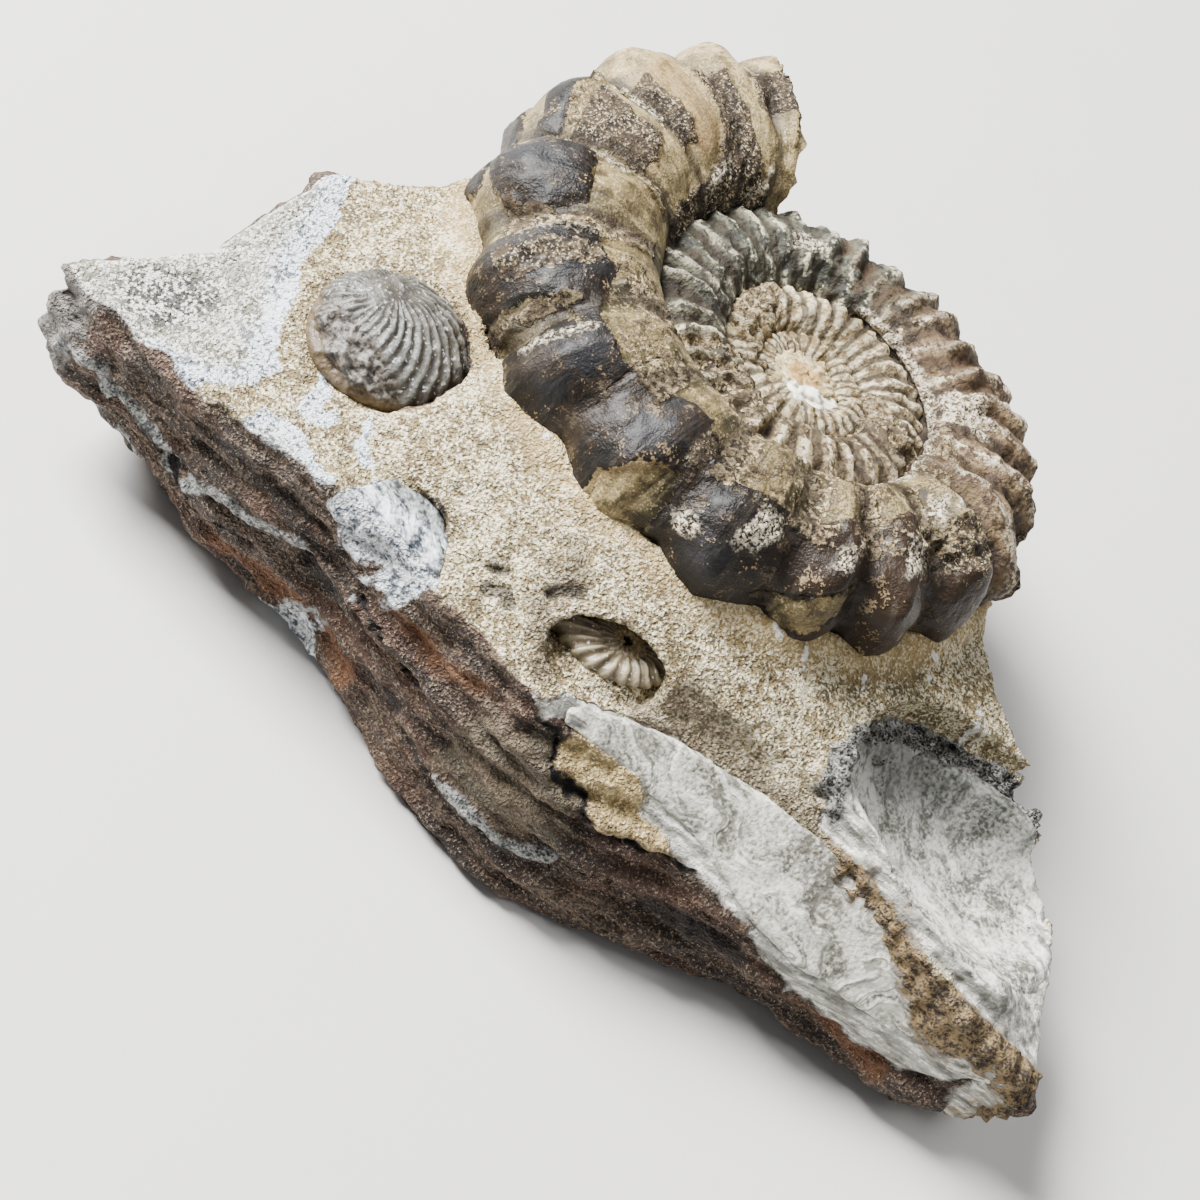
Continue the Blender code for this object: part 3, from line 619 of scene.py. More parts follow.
def rock_beside(heading):
    """How far the rock reaches from the coil's axis, and how high it is beside the bed."""
    out = Vector((np.cos(heading), np.sin(heading), 0.0))
    axis = Vector((*COIL_CENTRE[:2], 0.0)) * MM
    reach = FAR
    for height in (9.5, 11.0, 12.5):
        start = axis + out * FROM_AFAR + Vector((0, 0, height * MM))
        hit = rock_node.ray_cast(start, -out)[0]
        if hit is not None:
            reach = min(reach, (hit.xy - axis.xy).length / MM)
    bed = coil_radius(turn_at(np.degrees(heading))) + FILL_REACH
    beside = bed + 0.2
    drop = rock_node.ray_cast(axis + out * beside * MM + FROM_ABOVE, DOWN)[0]
    edge = drop.z / MM if drop is not None and beside < reach else LOW_EDGE
    return min(bed, reach - 0.6), edge


def fill_rule(u, v):
    heading = u * 2.0 * np.pi
    row = np.round(v * FILL_ROWS)
    reach, edge = np.transpose([rock_beside(angle) for angle in heading])
    share = np.clip((FILL_ROWS - row) / (FILL_ROWS - FLOOR_ROWS), 0.0, 1.0) * (row > 0)
    out = np.transpose((np.cos(heading), np.sin(heading)))
    flat = COIL_CENTRE[:2] + out * (share * reach)[:, None]
    top = np.minimum(bedding_height(flat)[0], edge)
    return np.column_stack((flat, np.where(row < FLOOR_ROWS, FILL_FLOOR, top))), {}


bed_fill, _ = bent_grid(FILL_SPOKES, FILL_ROWS, fill_rule)
print("bed fill:", len(bed_fill.faces), "faces")

# %% Sand that fills the small pockets
FILL_GROW = 0.42
HOLLOW_MIDDLE = Vector((29.6, -10.6, 14.9)) * MM
DOME_BED = Vector((-24.1, -13.61, 13.55)) * MM
BED_LOW, BED_HIGH, BED_DEPTH = 6.3 * MM, 6.4 * MM, 3.0 * MM  # its two radii and its depth


def lining_fill(vertex):
    """The lining's outer face grows to meet the rock, and its inner face sinks out of sight."""
    return FILL_GROW if vertex.normal.dot(vertex.co - HOLLOW_MIDDLE) > 0.0 else -0.3


dome_fill = bmesh.new()
bmesh.ops.create_cone(dome_fill, cap_ends=True, segments=48, radius1=BED_LOW, radius2=BED_HIGH,
                      depth=BED_DEPTH)
bmesh.ops.translate(dome_fill, vec=DOME_BED, verts=dome_fill.verts)
print("dome bed:", len(dome_fill.faces), "faces")

# %% The rock's skin
ROCK_VOXEL = 0.35
# each fill is grown to meet the rock and sunk a little below its fossil
fills = [
    merged_node("matrix"),
    bed_fill,
    dome_fill,
    merged_node("small_ammonite", FILL_GROW, (0, 0, -0.5)),
    merged_node("pearly_scrap", FILL_GROW, (0, 0, -0.62)),
    merged_node("shell_sheet", FILL_GROW, (0, 0.35, -0.47)),
    merged_node("shell_lining", rule=lining_fill),
]
rock = as_voxels("rock", fills, ROCK_VOXEL, smooth_rounds=3)
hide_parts("matrix")

# %% [markdown]
# ## Patches and roughness of the rock
# The bedding face is sandy and nearly flat, the broken side is layered and chipped. The rock could
# be sculpted by hand, but noise that is stretched along the layers gives the same look all round,
# also where the photograph doesn't reach. The places of the patches are in millimetres, seen from
# above for the bedding face and from the front for the broken side.

# %% Outline of the bedding face
TOP_EDGE = [(-41.4, -23.4), (-38.9, -24.0), (-36.3, -23.9), (-30.9, -24.5), (-25.7, -24.8),
            (-20.3, -24.2), (-15.6, -24.6), (-10.5, -25.5), (-6.4, -25.6), (-2.7, -26.0),
            (-0.4, -24.2), (3.1, -22.0), (8.0, -20.3), (13.2, -18.8), (17.9, -17.9),
            (23.6, -18.4), (28.4, -19.3), (32.1, -20.0), (36.5, -20.1), (40.3, -18.9),
            (39.3, -16.6), (37.6, -12.8), (36.5, -10.2), (34.4, -7.4), (32.0, -5.6),
            (30.1, -3.6), (28.0, -2.6), (22.1, -0.8), (19.3, 2.2), (17.7, 5.6), (15.6, 11.6),
            (9.1, 17.6), (0.1, 20.0), (-8.9, 19.4), (-16.9, 15.6), (-22.4, 10.1), (-27.5, 1.9),
            (-31.4, -2.7), (-34.5, -4.4), (-35.1, -8.5), (-35.3, -12.0), (-35.9, -15.6),
            (-37.9, -18.3), (-40.3, -21.2)]
print("points round the bedding face:", len(TOP_EDGE))

# %% Patches of the bedding face
TOP_PATCHES = {
    "film": [
        [(-34, -3.5), (-32.75, -5.5), (-32, -7.5), (-31.75, -10), (-31.25, -12.5), (-30, -14.5),
         (-29.5, -17), (-28.75, -19), (-27.5, -20), (-28, -22), (-30, -24.5), (-44, -28),
         (-46, -20), (-38, -4)],
        [(-26.5, -22.8), (-24, -22.5), (-20, -24.0), (-20, -26), (-27, -26)],
        ([(-25.2, -18.4), (-24.6, -19.6), (-24.4, -20.6), (-23.2, -20.8)], 0.6),
        ([(-20.9, -19.2), (-20.3, -20.5), (-19.4, -21.6)], 0.35),
    ],
    "ochre": [
        [(-31, 1), (-30, -6), (-24, -8), (-18, -8), (-13, -13), (-9, -17), (-6, -19), (0, -17),
         (8, -14), (14, -9), (20, -4), (16, 2), (-10, 0), (-20, 8)],
    ],
    "brown": [
        [(4.5, -18.2), (10, -18.2), (20, -17.2), (20, -19.8), (11, -20.6), (6, -22), (2, -23)],
        ([(-6.5, -18.5), (-5, -20), (-5.5, -22), (-3, -24.5)], 0.8),
    ],
    "pit_dark": [
        ([(-8.8, -23.0), (-7.8, -22.5), (-7.0, -22.8)], 0.4),
        ([(-9.4, -21.9), (-8.6, -21.7)], 0.3),
        ([(-5.5, -20.9), (-4.9, -20.2), (-4.0, -19.7)], 0.35),
    ],
    # the rim is partly dark crumbly stone, partly painted shade on the hollow's steep upper wall
    "rim": [
        [(15.1, -17.2), (14.4, -14.6), (15.0, -12.0), (16.2, -8.9), (17.6, -5.9),
         (20.6, -4.0), (24.7, -2.8), (29.5, -1.8), (32.0, -3.8), (29.9, -5.2), (27.1, -5.6),
         (23.9, -6.5), (20.4, -7.5), (18.3, -10), (16.9, -13.5), (16.8, -15.7),
         (18.1, -17.5)],
    ],
    "crumb": [
        ([(8.9, -12.3), (9.9, -13.0)], 0.22), ([(16.3, -3.8), (16.8, -3.6)], 0.25),
        ([(17.0, -5.1), (17.3, -4.8)], 0.22), ([(21, -2.6), (23, -4.3)], 0.15),
        ([(21.6, -2.4), (23.2, -3.6)], 0.12), ([(6.5, -12.8), (7.1, -13.2)], 0.25),
        ([(-12.2, -14.4), (-11.9, -14.1)], 0.2), ([(13.2, -9.6), (13.8, -9.9)], 0.2),
    ],
    "ridge": [
        [(18.5, -18.8), (19.5, -19.4), (23.6, -19.2), (26.5, -20), (29.4, -20.7), (32.7, -21.4),
         (37, -20.3), (40, -19.8), (40, -17.6), (35.8, -18.7), (32.9, -19.1), (29.7, -19.4),
         (27, -18.8), (23.6, -18.3), (21.1, -17.9)],
    ],
    "lining": [
        [(14.5, -15), (16, -17), (17.5, -18.1), (19.9, -18.4), (25.8, -19.0), (30, -19.2),
         (33, -19.5), (36, -20.6), (38.5, -20.8), (40.0, -18.5), (39, -14), (37, -10), (33, -7),
         (30.5, -6.5), (24, -8.5), (18, -13)],
    ],
    "pearl": [
        [(-18.5, -22), (-17, -20.9), (-14.5, -21.2), (-12.5, -23), (-11.2, -25.2), (-12, -25.9),
         (-16, -25.2), (-19.5, -24.5)],
    ],
    "oval": [
        [(-39, -21.5), (-37.5, -19.0), (-35, -17.6), (-33, -18.4), (-33, -21), (-34.5, -23),
         (-37.5, -23.5)],
    ],
}
print("sorts of patches seen from above:", len(TOP_PATCHES))

# %% Patches of the broken side
SIDE_PATCHES = {
    "lamina": [
        ([(-39, 8.9), (-36.6, 9.9), (-34.9, 8.8), (-32.7, 8.7), (-30.2, 8.6), (-28.9, 7.3)], 0.6),
        ([(-27, 7.9), (-24.4, 9.3), (-22, 9.0), (-19.3, 10.3)], 0.5),
        ([(-3, 5.0), (0, 5.4), (3, 5.2), (5.5, 5.8)], 0.5),
        ([(-36, 4.8), (-33, 5.2), (-29, 4.2)], 0.3),
        ([(-17.4, 4.6), (-15.6, 5.4)], 0.6),
    ],
    "silver": [
        [(-3, 15.1), (3, 14.7), (13, 13.7), (20.5, 13.2), (28, 12.2), (33, 10.5), (36, 9),
         (38, 8.5), (35, 6), (33, 4.8), (28, 4.8), (23, 6.5), (18, 9), (13, 10.3), (11, 10.5),
         (5, 13), (-1, 14.3)],
    ],
    "sandy": [
        [(-4.5, 5.5), (-4, 12.5), (3, 13), (5, 10), (5, 6)],
    ],
    "yellow": [
        [(0.5, 14.2), (5, 13.4), (11, 12), (13, 10.8), (11, 10.2), (6, 10.5), (2, 12)],
    ],
    "side_crack": [
        ([(-1, 14), (2, 12.2), (6, 10.3), (10, 10.0), (13, 10.2)], 0.16),
        ([(-34, 8.4), (-30, 8.0), (-26, 5.9), (-22, 6.8)], 0.3),
        ([(-14, 11), (-9, 9.4), (-5, 9.8)], 0.2),
    ],
    "side_dark": [
        ([(-18.2, 9.2), (-16, 8.8)], 0.8), [(12, 5), (12.5, 7.2), (20, 7), (20, 5.4)],
        ([(-12, 5.5), (-8, 6.2)], 0.6),
    ],
    "tip": [
        [(-43, 3), (-38.4, 3), (-37.6, 9), (-38.6, 14.5), (-43, 14.5)],
    ],
    "rusty": [
        ([(4.9, 12.5), (5.5, 12.6)], 0.35), ([(-24, 3.5), (-18, 5), (-12, 3.6)], 0.9),
        ([(-12, 12.5), (-8, 11.8), (-5, 13)], 0.5), ([(24, 5), (32, 3.8)], 0.6),
    ],
}
print("sorts of patches seen from the front:", len(SIDE_PATCHES))

# %% Marks of the rock
places, facing = places_of(rock.data), facing_of(rock.data)
edge = in_patch(places[:, :2], TOP_EDGE)
# behind its front edge, the face reaches a little further than the outline
edge += 1.6 * smoothstep((places[:, 1] + 21.0) / 3.0) * (places[:, 0] < 25.0)
wander = lumps(places, 2.5, 3, 11)
bedding, outside_coil = bedding_height(places)
depth_below = bedding - places[:, 2]
inside_edge = smoothstep((edge + 0.5 * wander) / 1.2 + 0.5)
# steep places are broken side, apart from the sandy walls of the hollow and of the small pit
hollow_wall = (places[:, 0] > 13.0) & (places[:, 1] > -13.0)
pit_wall = np.hypot(places[:, 0] - 0.2, (places[:, 1] + 18.8) / 0.75) < 6.6
level = np.where(hollow_wall | pit_wall, 1.0, smoothstep((facing[:, 2] - 0.1) / 0.3))
in_hollow = (places[:, 0] > 12) & (places[:, 1] < -3)
not_deep = np.where(in_hollow, 1.0, smoothstep((6.0 - depth_below) / 2.0))
top_share = inside_edge * level * not_deep
sides = 1.0 - top_share
# the patches get ragged outlines by looking them up a little beside each point
from_above = places[:, :2] + 0.45 * wander[:, None]
from_front = places[:, [0, 2]] + 0.4 * wander[:, None]
marks = {name: patch_depth(from_above, patches) for name, patches in TOP_PATCHES.items()}
on_front = (places[:, 1] < -12) & (facing[:, 1] < 0.45)
for name, patches in SIDE_PATCHES.items():
    marks[name] = np.where(on_front, patch_depth(from_front, patches), OUTSIDE)
# the rim's shell ends at a height that falls towards the back
rim_top = np.interp(places[:, 1], (-13.0, -12.0, -6.3, -3.6), (19.0, 17.0, 13.2, 12.7))
marks["rim"] = np.minimum(marks["rim"], rim_top + 0.3 * wander - places[:, 2])
marks = {name: np.clip(values, OUTSIDE, -OUTSIDE) for name, values in marks.items()}
print("rock patches:", len(marks))

# %% Roughness of the rock
layered = lumps(places, (7.0, 7.0, 1.1), 3, 12)
blocks = cracks(places, (5.0, 5.0, 2.6), 13)
chips = lumps(places, 1.1, 3, 14)
swell = lumps(places, 9.0, 2, 15)
sand = lumps(places, 0.9, 2, 16)
shelly = smoothstep(np.maximum(marks["silver"], marks["lining"]) / 0.6 + 0.5)
sides_rough = sides * (1.0 - 0.75 * shelly)
rise = sides_rough * (0.75 * layered + 0.9 * (blocks - 0.45) + 0.3 * chips)
rise += top_share * (0.16 * sand + 0.1 * chips + 0.18 * swell)
patch_relief = {  # how wide a patch's edge is, and how far the patch stands out, in mm
    "rim": (0.8, 0.55 * chips + 0.35 * sand + 0.15),
    "lamina": (0.4, 0.25),
    "side_crack": (0.2, -0.45),
    "pit_dark": (0.4, -0.35 * top_share),
    "ridge": (0.6, 0.55 + 0.4 * chips),
    "crumb": (0.3, 0.2),
    "side_dark": (0.6, -0.5),
    "film": (0.5, -0.1 * sand * top_share),
}
for name, (width, height) in patch_relief.items():
    rise += smoothstep(marks[name] / width + 0.5) * height
# sand is banked up against the ammonite
COLLAR_RISE, COLLAR_WIDTH = 1.2, 2.6
collar = smoothstep(1.0 - np.abs(outside_coil + 0.4) / COLLAR_WIDTH) * top_share
rise += COLLAR_RISE * collar * smoothstep((facing[:, 2] - 0.4) / 0.4)
print("roughness", round(float(rise.min()), 2), "to", round(float(rise.max()), 2), "mm")

# %% The rock's shape and marks
# the base stays flat: the roughness dies out towards the floor
BASE_BLEND = 1.2
moved = places + facing * (rise * smoothstep(places[:, 2] / BASE_BLEND))[:, None]
moved[:, 2] = np.where(places[:, 2] < ROCK_VOXEL, 0.0, np.maximum(moved[:, 2], 0.0))
move_to(rock.data, moved)
for name, values in {"sides": sides, "lip": outside_coil, **marks}.items():
    mark(rock.data, name, values)
print("marks on the rock:", len(rock.data.attributes))

# %% [markdown]
# ## The domed ribbed shell
# A small crushed shell with fine ribs that fan out from one corner and curve round to the far
# side. It could be sculpted; here a ball is flattened and each rib follows an angle round the
# corner, turned a little further the farther it is from it.

# %% The domed ribbed shell
DOME_HALF = (5.6, 5.05, 2.65)
DOME_TURN = np.radians(50.0)  # the long side of the oval
DOME_PLACE = (-23.75, -13.1, 15.65)
DOME_CORNER = np.array((-2.1, 1.5))  # where the ribs start, from the middle of the dome
DOME_RIBS, DOME_CURL = 34.0, 0.12
DOME_AROUND, DOME_UP = 200, 110  # faces of the ball it is made from


def dome_ribs(flat):
    away = flat - DOME_CORNER
    distance = np.hypot(*away.T)
    angle = np.arctan2(away[:, 1], away[:, 0]) + DOME_CURL * distance
    return np.cos(DOME_RIBS * angle), distance


bm = bmesh.new()
bmesh.ops.create_uvsphere(bm, u_segments=DOME_AROUND, v_segments=DOME_UP, radius=1.0)
bmesh.ops.scale(bm, vec=Vector(DOME_HALF) * MM, verts=bm.verts)
dome = new_piece("domed_shell", bm)
places = places_of(dome.data)
push = places / np.array(DOME_HALF) ** 2
push /= np.linalg.norm(push, axis=1)[:, None]
spin = np.array(((np.cos(DOME_TURN), np.sin(DOME_TURN), 0.0),
                 (-np.sin(DOME_TURN), np.cos(DOME_TURN), 0.0), (0.0, 0.0, 1.0)))
places, push = places @ spin, push @ spin
ribs, distance = dome_ribs(places[:, :2] + 0.25 * lumps(places, 2.5, 2, 20)[:, None])
crushed = smoothstep((-places[:, 1] - 1.9 - 0.35 * places[:, 0]) / 1.6)
rise = 0.075 * ribs * smoothstep(distance / 2.5) * (1.0 - 0.85 * crushed)
rise += lumps(places, 1.8, 3, 21) * (0.2 + 0.35 * crushed) + 0.06 * lumps(places, 0.6, 2, 22)
rise -= 0.35 * crushed
places += push * (rise * smoothstep(places[:, 2] + 0.6))[:, None]
move_to(dome.data, places + DOME_PLACE)
mark(dome.data, "rib", ribs * smoothstep(distance / 2.5))
mark(dome.data, "crushed", crushed)
mark(dome.data, "height", places[:, 2])
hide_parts("ribbed_shell")
print("dome:", len(dome.data.polygons), "faces")

# %% [markdown]
# ## The young ammonite
# A tiny ammonite lies flattened in its own pit. It could be a small copy of the large one, but its
# turns open faster and its ribs are wider apart, so it is wound by its own numbers and squeezed to
# the oval that the pressure of the rock left of it.

# %% The young ammonite
PIT_PLACE = np.array((-0.05, -18.65, 15.15))
YOUNG_RADIUS, YOUNG_RATE, YOUNG_RIBS = 5.0, 2.2, 23.0
YOUNG_HEADING, YOUNG_SQUEEZE, YOUNG_TURNS = 14.0, 0.7, 2.2
YOUNG_MOUTH, YOUNG_LIFT = np.radians(190.0), 0.8  # how far the middle stands up, in mm
YOUNG_MIDDLE, YOUNG_TUBE, YOUNG_FLAT = 0.64, 0.36, 0.17  # shares of the radius
YOUNG_SECTIONS, YOUNG_POINTS = 300, 40


def young_rule(u, v):
    turn, share = capped(u, 0.0, YOUNG_TURNS, YOUNG_SECTIONS)
    around = 2.0 * np.pi * v
    radius = YOUNG_RADIUS * YOUNG_RATE ** -turn
    ribs = np.cos(2.0 * np.pi * YOUNG_RIBS * turn + 1.5 * np.cos(around))
    rise = 0.03 * radius * ribs * smoothstep(np.cos(around) + 0.9)
    angle = YOUNG_MOUTH + 2.0 * np.pi * turn
    along = radius * YOUNG_MIDDLE + share * (YOUNG_TUBE * radius + rise) * np.cos(around)
    up = share * (YOUNG_FLAT * radius + rise) * np.sin(around)
    up = up + YOUNG_LIFT * (1.0 - radius / YOUNG_RADIUS)
    flat = np.column_stack((along * np.cos(angle), along * np.sin(angle) * YOUNG_SQUEEZE, up))
    spin = np.radians(YOUNG_HEADING)
    turned = flat @ np.array(((np.cos(spin), np.sin(spin), 0), (-np.sin(spin), np.cos(spin), 0),
                              (0, 0, 1)))
    marks = {"rib": ribs, "turn": turn, "top": np.sin(around)}
    turned += 0.12 * lumps(turned, 1.5, 3, 31)[:, None]
    return turned + PIT_PLACE, marks


young_grid = bent_grid(YOUNG_SECTIONS + 2 * CAP_SECTIONS, YOUNG_POINTS, young_rule)
young = new_piece("young_ammonite", *young_grid, sharp=SHARP_EDGE)
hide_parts("small_ammonite")
print("young ammonite:", len(young.data.polygons), "faces")

# %% [markdown]
# ## Pearly scrap, silver sheet and lining
# Three thin pieces of shell, flush with the stone. Each is cast anew from its CAD solid, so that
# it stays exactly in its bed, with a skin fine enough for the wavy layers that shell breaks into.

# %% Waves of a thin shell
SHELL_GROW, SHELL_ROUNDS = 0.1, 4
SCRAP_VOXEL, SHELL_VOXEL = 0.16, 0.24


def thin_shell(node, name, voxel, waves):
    piece = as_voxels(name, [merged_node(node, SHELL_GROW)], voxel, SHELL_ROUNDS)
    places, facing = places_of(piece.data), facing_of(piece.data)
    rise, marks = waves(places)
    move_to(piece.data, places + facing * rise[:, None])
    for label, values in marks.items():
        mark(piece.data, label, values)
    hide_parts(node)
    return piece


def flow(places, heading, seed):
    """How far each point lies along and across the wavy layers, in mm."""
    heading = np.radians(heading)
    along = places[:, 0] * np.cos(heading) + places[:, 1] * np.sin(heading)
    across = places[:, 1] * np.cos(heading) - places[:, 0] * np.sin(heading) - places[:, 2]
    bend = lumps(places, 7.0, 2, seed)
    return along, across + 1.1 * bend + 0.25 * lumps(places, 1.6, 2, seed + 1)


def scrap_waves(places):
    along, across = flow(places, -30.0, 41)
    streak = lumps(np.column_stack((along / 2.5, across, 0 * along)), 0.7, 3, 42)
    rise = 0.16 * streak + 0.1 * lumps(places, 0.9, 3, 43)
    return rise, {"along": along, "across": across,
                  "shade": 0.85 * smoothstep((places[:, 1] + 22.8) / 1.6)}


def sheet_waves(places):
    along, across = flow(places, 8.0, 51)
    streak = lumps(np.column_stack((along / 9.0, across, 0 * along)), 0.8, 3, 52)
    layers = np.sin(2.4 * across + 2.0 * streak)
    layered = 0.25 + 0.75 * smoothstep((16.0 - places[:, 0]) / 9.0)
    rise = 0.14 * streak + 0.12 * lumps(places, 2.4, 3, 53)
    rise += 0.13 * layered * smoothstep(layers / 0.5)
    shade = smoothstep(1.0 - np.abs(layers) / 0.35) * layered
    return rise, {"along": along, "across": across,
                  "shade": np.maximum(shade, 0.3 * smoothstep((7.0 - places[:, 0]) / 9.0))}


def lining_waves(places):
    along, across = flow(places, -14.0, 61)
    streak = lumps(np.column_stack((along / 2.2, across, 0 * along)), 1.6, 3, 62)
    rise = 0.3 * streak + 0.14 * lumps(places, 2.5, 3, 63)
    return rise, {"along": along, "across": across,
                  "shade": smoothstep((places[:, 1] + 13.0 - 0.3 * (places[:, 0] - 22.0)) / 6.0)}


# %% The three thin shells
scrap = thin_shell("pearly_scrap", "pearl_scrap", SCRAP_VOXEL, scrap_waves)
silver_sheet = thin_shell("shell_sheet", "silver_sheet", SHELL_VOXEL,
                          sheet_waves)
lining = thin_shell("shell_lining", "hollow_lining", SHELL_VOXEL, lining_waves)

# %% [markdown]
# ## Sums in a material
# A finish is a few colours laid over each other through masks, and a mask is a sum on noise and
# on marks. This small class lets those sums be written as Python: each one adds its Math node.

# %% The wire and the finish
class Wire:
    """One output of a node, with Python's sums."""

    def __init__(self, finish, socket):
        self.finish, self.socket = finish, socket

    def sum(self, operation, *numbers):
        return self.finish.node("ShaderNodeMath", {"operation": operation}, numbers)

    def __add__(self, other):
        return self.sum("ADD", self, other)

    def __mul__(self, other):
        return self.sum("MULTIPLY", self, other)

    def __sub__(self, other):
        return self.sum("SUBTRACT", self, other)

    def __rsub__(self, other):
        return self.sum("SUBTRACT", other, self)

    def __truediv__(self, other):
        return self.sum("DIVIDE", self, other)

    __radd__, __rmul__ = __add__, __mul__

    def over(self, edge, blur):
        """1 where this is over an edge and 0 where it is under, blurred across it."""
        return self.finish.node("ShaderNodeMapRange", {"clamp": True}, {
            "Value": self, "From Min": edge - blur / 2, "From Max": edge + blur / 2})


class Finish:
    """A material made of nodes, around its Principled shader."""

    def __init__(self, name):
        self.material = bpy.data.materials.new(name)
        self.material.use_nodes = True
        self.tree = self.material.node_tree
        self.shader = self.tree.nodes["Principled BSDF"]
        self.spot = self.node("ShaderNodeTexCoord", {}, {}, "Object")
        self.wobble = 0.0

    def link(self, value, socket):
        if isinstance(value, Wire):
            self.tree.links.new(value.socket, socket)
        else:
            socket.default_value = value

    def node(self, kind, settings, inputs, output=0):
        """Any node: its settings first, then what its sockets get, by name or in order."""
        made = self.tree.nodes.new(kind)
        for name, value in settings.items():
            setattr(made, name, value)
        pairs = inputs.items() if isinstance(inputs, dict) else enumerate(inputs)
        for name, value in pairs:
            self.link(value, made.inputs[name])
        return Wire(self, made.outputs[output])

    def mark(self, name):
        return self.node("ShaderNodeAttribute", {"attribute_name": name}, {}, "Fac")

    def cloud(self, size, detail=2.0, seed=0.0, stretch=(1.0, 1.0, 1.0), roughness=0.5):
        """Noise with lumps of a size in mm, drawn out along the axes by stretch."""
        scale = tuple(1.0 / share for share in stretch)
        place = self.node("ShaderNodeMapping", {"vector_type": "POINT"}, {
            "Vector": self.spot, "Location": (seed, seed * 0.7, -seed), "Scale": scale})
        return self.node("ShaderNodeTexNoise", {}, {
            "Vector": place, "Scale": 1.0 / (size * MM), "Detail": detail,
            "Roughness": roughness})

    def streak(self, size, stretch, detail=3.0, seed=0.0):
        """Noise drawn out along the layers of a piece that has them marked."""
        place = self.node("ShaderNodeCombineXYZ", {}, [
            self.mark("along") / stretch, self.mark("across"), seed])
        return self.node("ShaderNodeTexNoise", {}, {
            "Vector": place, "Scale": 1.0 / size, "Detail": detail})

    def area(self, name, blur=0.08, reach=1.0):
        """1 inside a marked patch, its edge broken up by the finish's own wobble."""
        return (self.mark(name) + self.wobble * reach).over(0.0, blur)

    def mix(self, mask, under, over):
        """Lays one colour over another where the mask says. A colour is a wire or hex digits."""
        under, over = [tone(colour) if isinstance(colour, str) else colour
                       for colour in (under, over)]
        return self.node("ShaderNodeMix", {"data_type": "RGBA"},
                         {0: mask, 6: under, 7: over}, 2)

    def finish(self, colour, roughness, height, strength=1.0, specular=0.5):
        """Wires the shader; height is in mm."""
        self.link(colour, self.shader.inputs["Base Color"])
        self.link(roughness, self.shader.inputs["Roughness"])
        self.shader.inputs["Specular IOR Level"].default_value = specular
        bump = self.node("ShaderNodeBump", {}, {
            "Strength": strength, "Distance": MM, "Height": height})
        self.link(bump, self.shader.inputs["Normal"])
        return self.material


def tone(code):
    """A colour as the eye sees it, six hex digits, turned into light values."""
    seen = np.array([int(code[i:i + 2], 16) for i in (0, 2, 4)]) / 255.0
    light = np.where(seen <= 0.04045, seen / 12.92, ((seen + 0.055) / 1.055) ** 2.4)
    return (*light.tolist(), 1.0)


def wear(piece, material):
    """The piece's one material."""
    piece.data.materials.clear()
    piece.data.materials.append(material)


# %% [markdown]
# ## Finish of the ammonite
# The cast under the shell is olive and satin, lighter on the rib crests, partly at random and
# partly as painted highlight. The shell itself is nearly black and glossy; a painted bluish sheen
# on its rib crests stands in for a reflection, and painted shade darkens the grooves. Sand and
# white lime sit on top. The layers are laid in the order in which they lie on the fossil, so each
# one hides what is below.

# %% Finish of the ammonite
f = Finish("ammonite_shell")
fine, grit = f.cloud(0.35, 4.0, 1.0, roughness=0.6), f.cloud(0.16, 2.0, 2.0)
cloud, broad = f.cloud(1.3, 4.0, 3.0, roughness=0.6), f.cloud(4.5, 2.0, 4.0)
rib, turn, top = f.mark("rib"), f.mark("turn"), f.mark("top")
f.wobble = (fine - 0.5) * 0.8 + (cloud - 0.5) * 1.8
# growth lines run beside the ribs: noise that changes quickly along the coil
growth_place = f.node("ShaderNodeCombineXYZ", {}, [turn * 260.0, top * 2.0 + cloud * 1.5, 0.0])
growth = f.node("ShaderNodeTexNoise", {}, {"Vector": growth_place, "Scale": 1.0, "Detail": 3.0})

# %% The stone cast
cast = f.mix((cloud + (broad - 0.5)).over(0.5, 0.35), "332d1c", "5f5538")
# lighter on the rib crests, partly at random and partly as painted highlight
cast = f.mix((rib * 0.5 + (cloud - 0.5) * 1.6).over(0.25, 0.8) * 0.8, cast, "9b875c")
# lighter towards the mouth: partly the cast's own tan, partly painted highlight
cast = f.mix((1.0 - turn.over(0.165, 0.05)) * 0.35, cast, "ae996c")
cast = f.mix(growth.over(0.56, 0.12) * 0.35, cast, "372f1f")
cast = f.mix((1.0 - growth).over(0.58, 0.12) * 0.25, cast, "c3b187")
dust = grit * 0.8 + (fine - 0.5) * 0.6 + (cloud - 0.5) * 1.2 - rib * 0.03
cast = f.mix(dust.over(0.53, 0.06) * 0.6, cast, "cdba8e")
cast = f.mix((1.0 - dust).over(0.72, 0.06) * 0.6, cast, "2b2417")

# %% The dark shell over the cast
dark = f.mix(cloud.over(0.55, 0.3), "0c0a08", "21170f")
dark = f.mix(turn.over(0.46, 0.1) * 0.5, dark, "3b2b1c")
dark = f.mix(growth.over(0.6, 0.08) * 0.3, dark, "4a443c")
# painted sheen: a bluish painted reflection on the crests of the dark shell, inside its patches
dark = f.mix(f.area("painted_sheen", 1.6) * (rib + 0.6).over(0.6, 1.0) * 0.3, dark, "383a40")
dark = f.mix(dust.over(0.6, 0.05) * 0.85, dark, "9c8867")
dark_mask = f.area("dark") * (1.0 - f.area("mould"))
colour = f.mix(f.area("rust", 1.0) * 0.35, cast, "8f7148")
colour = f.mix(dark_mask, colour, dark)

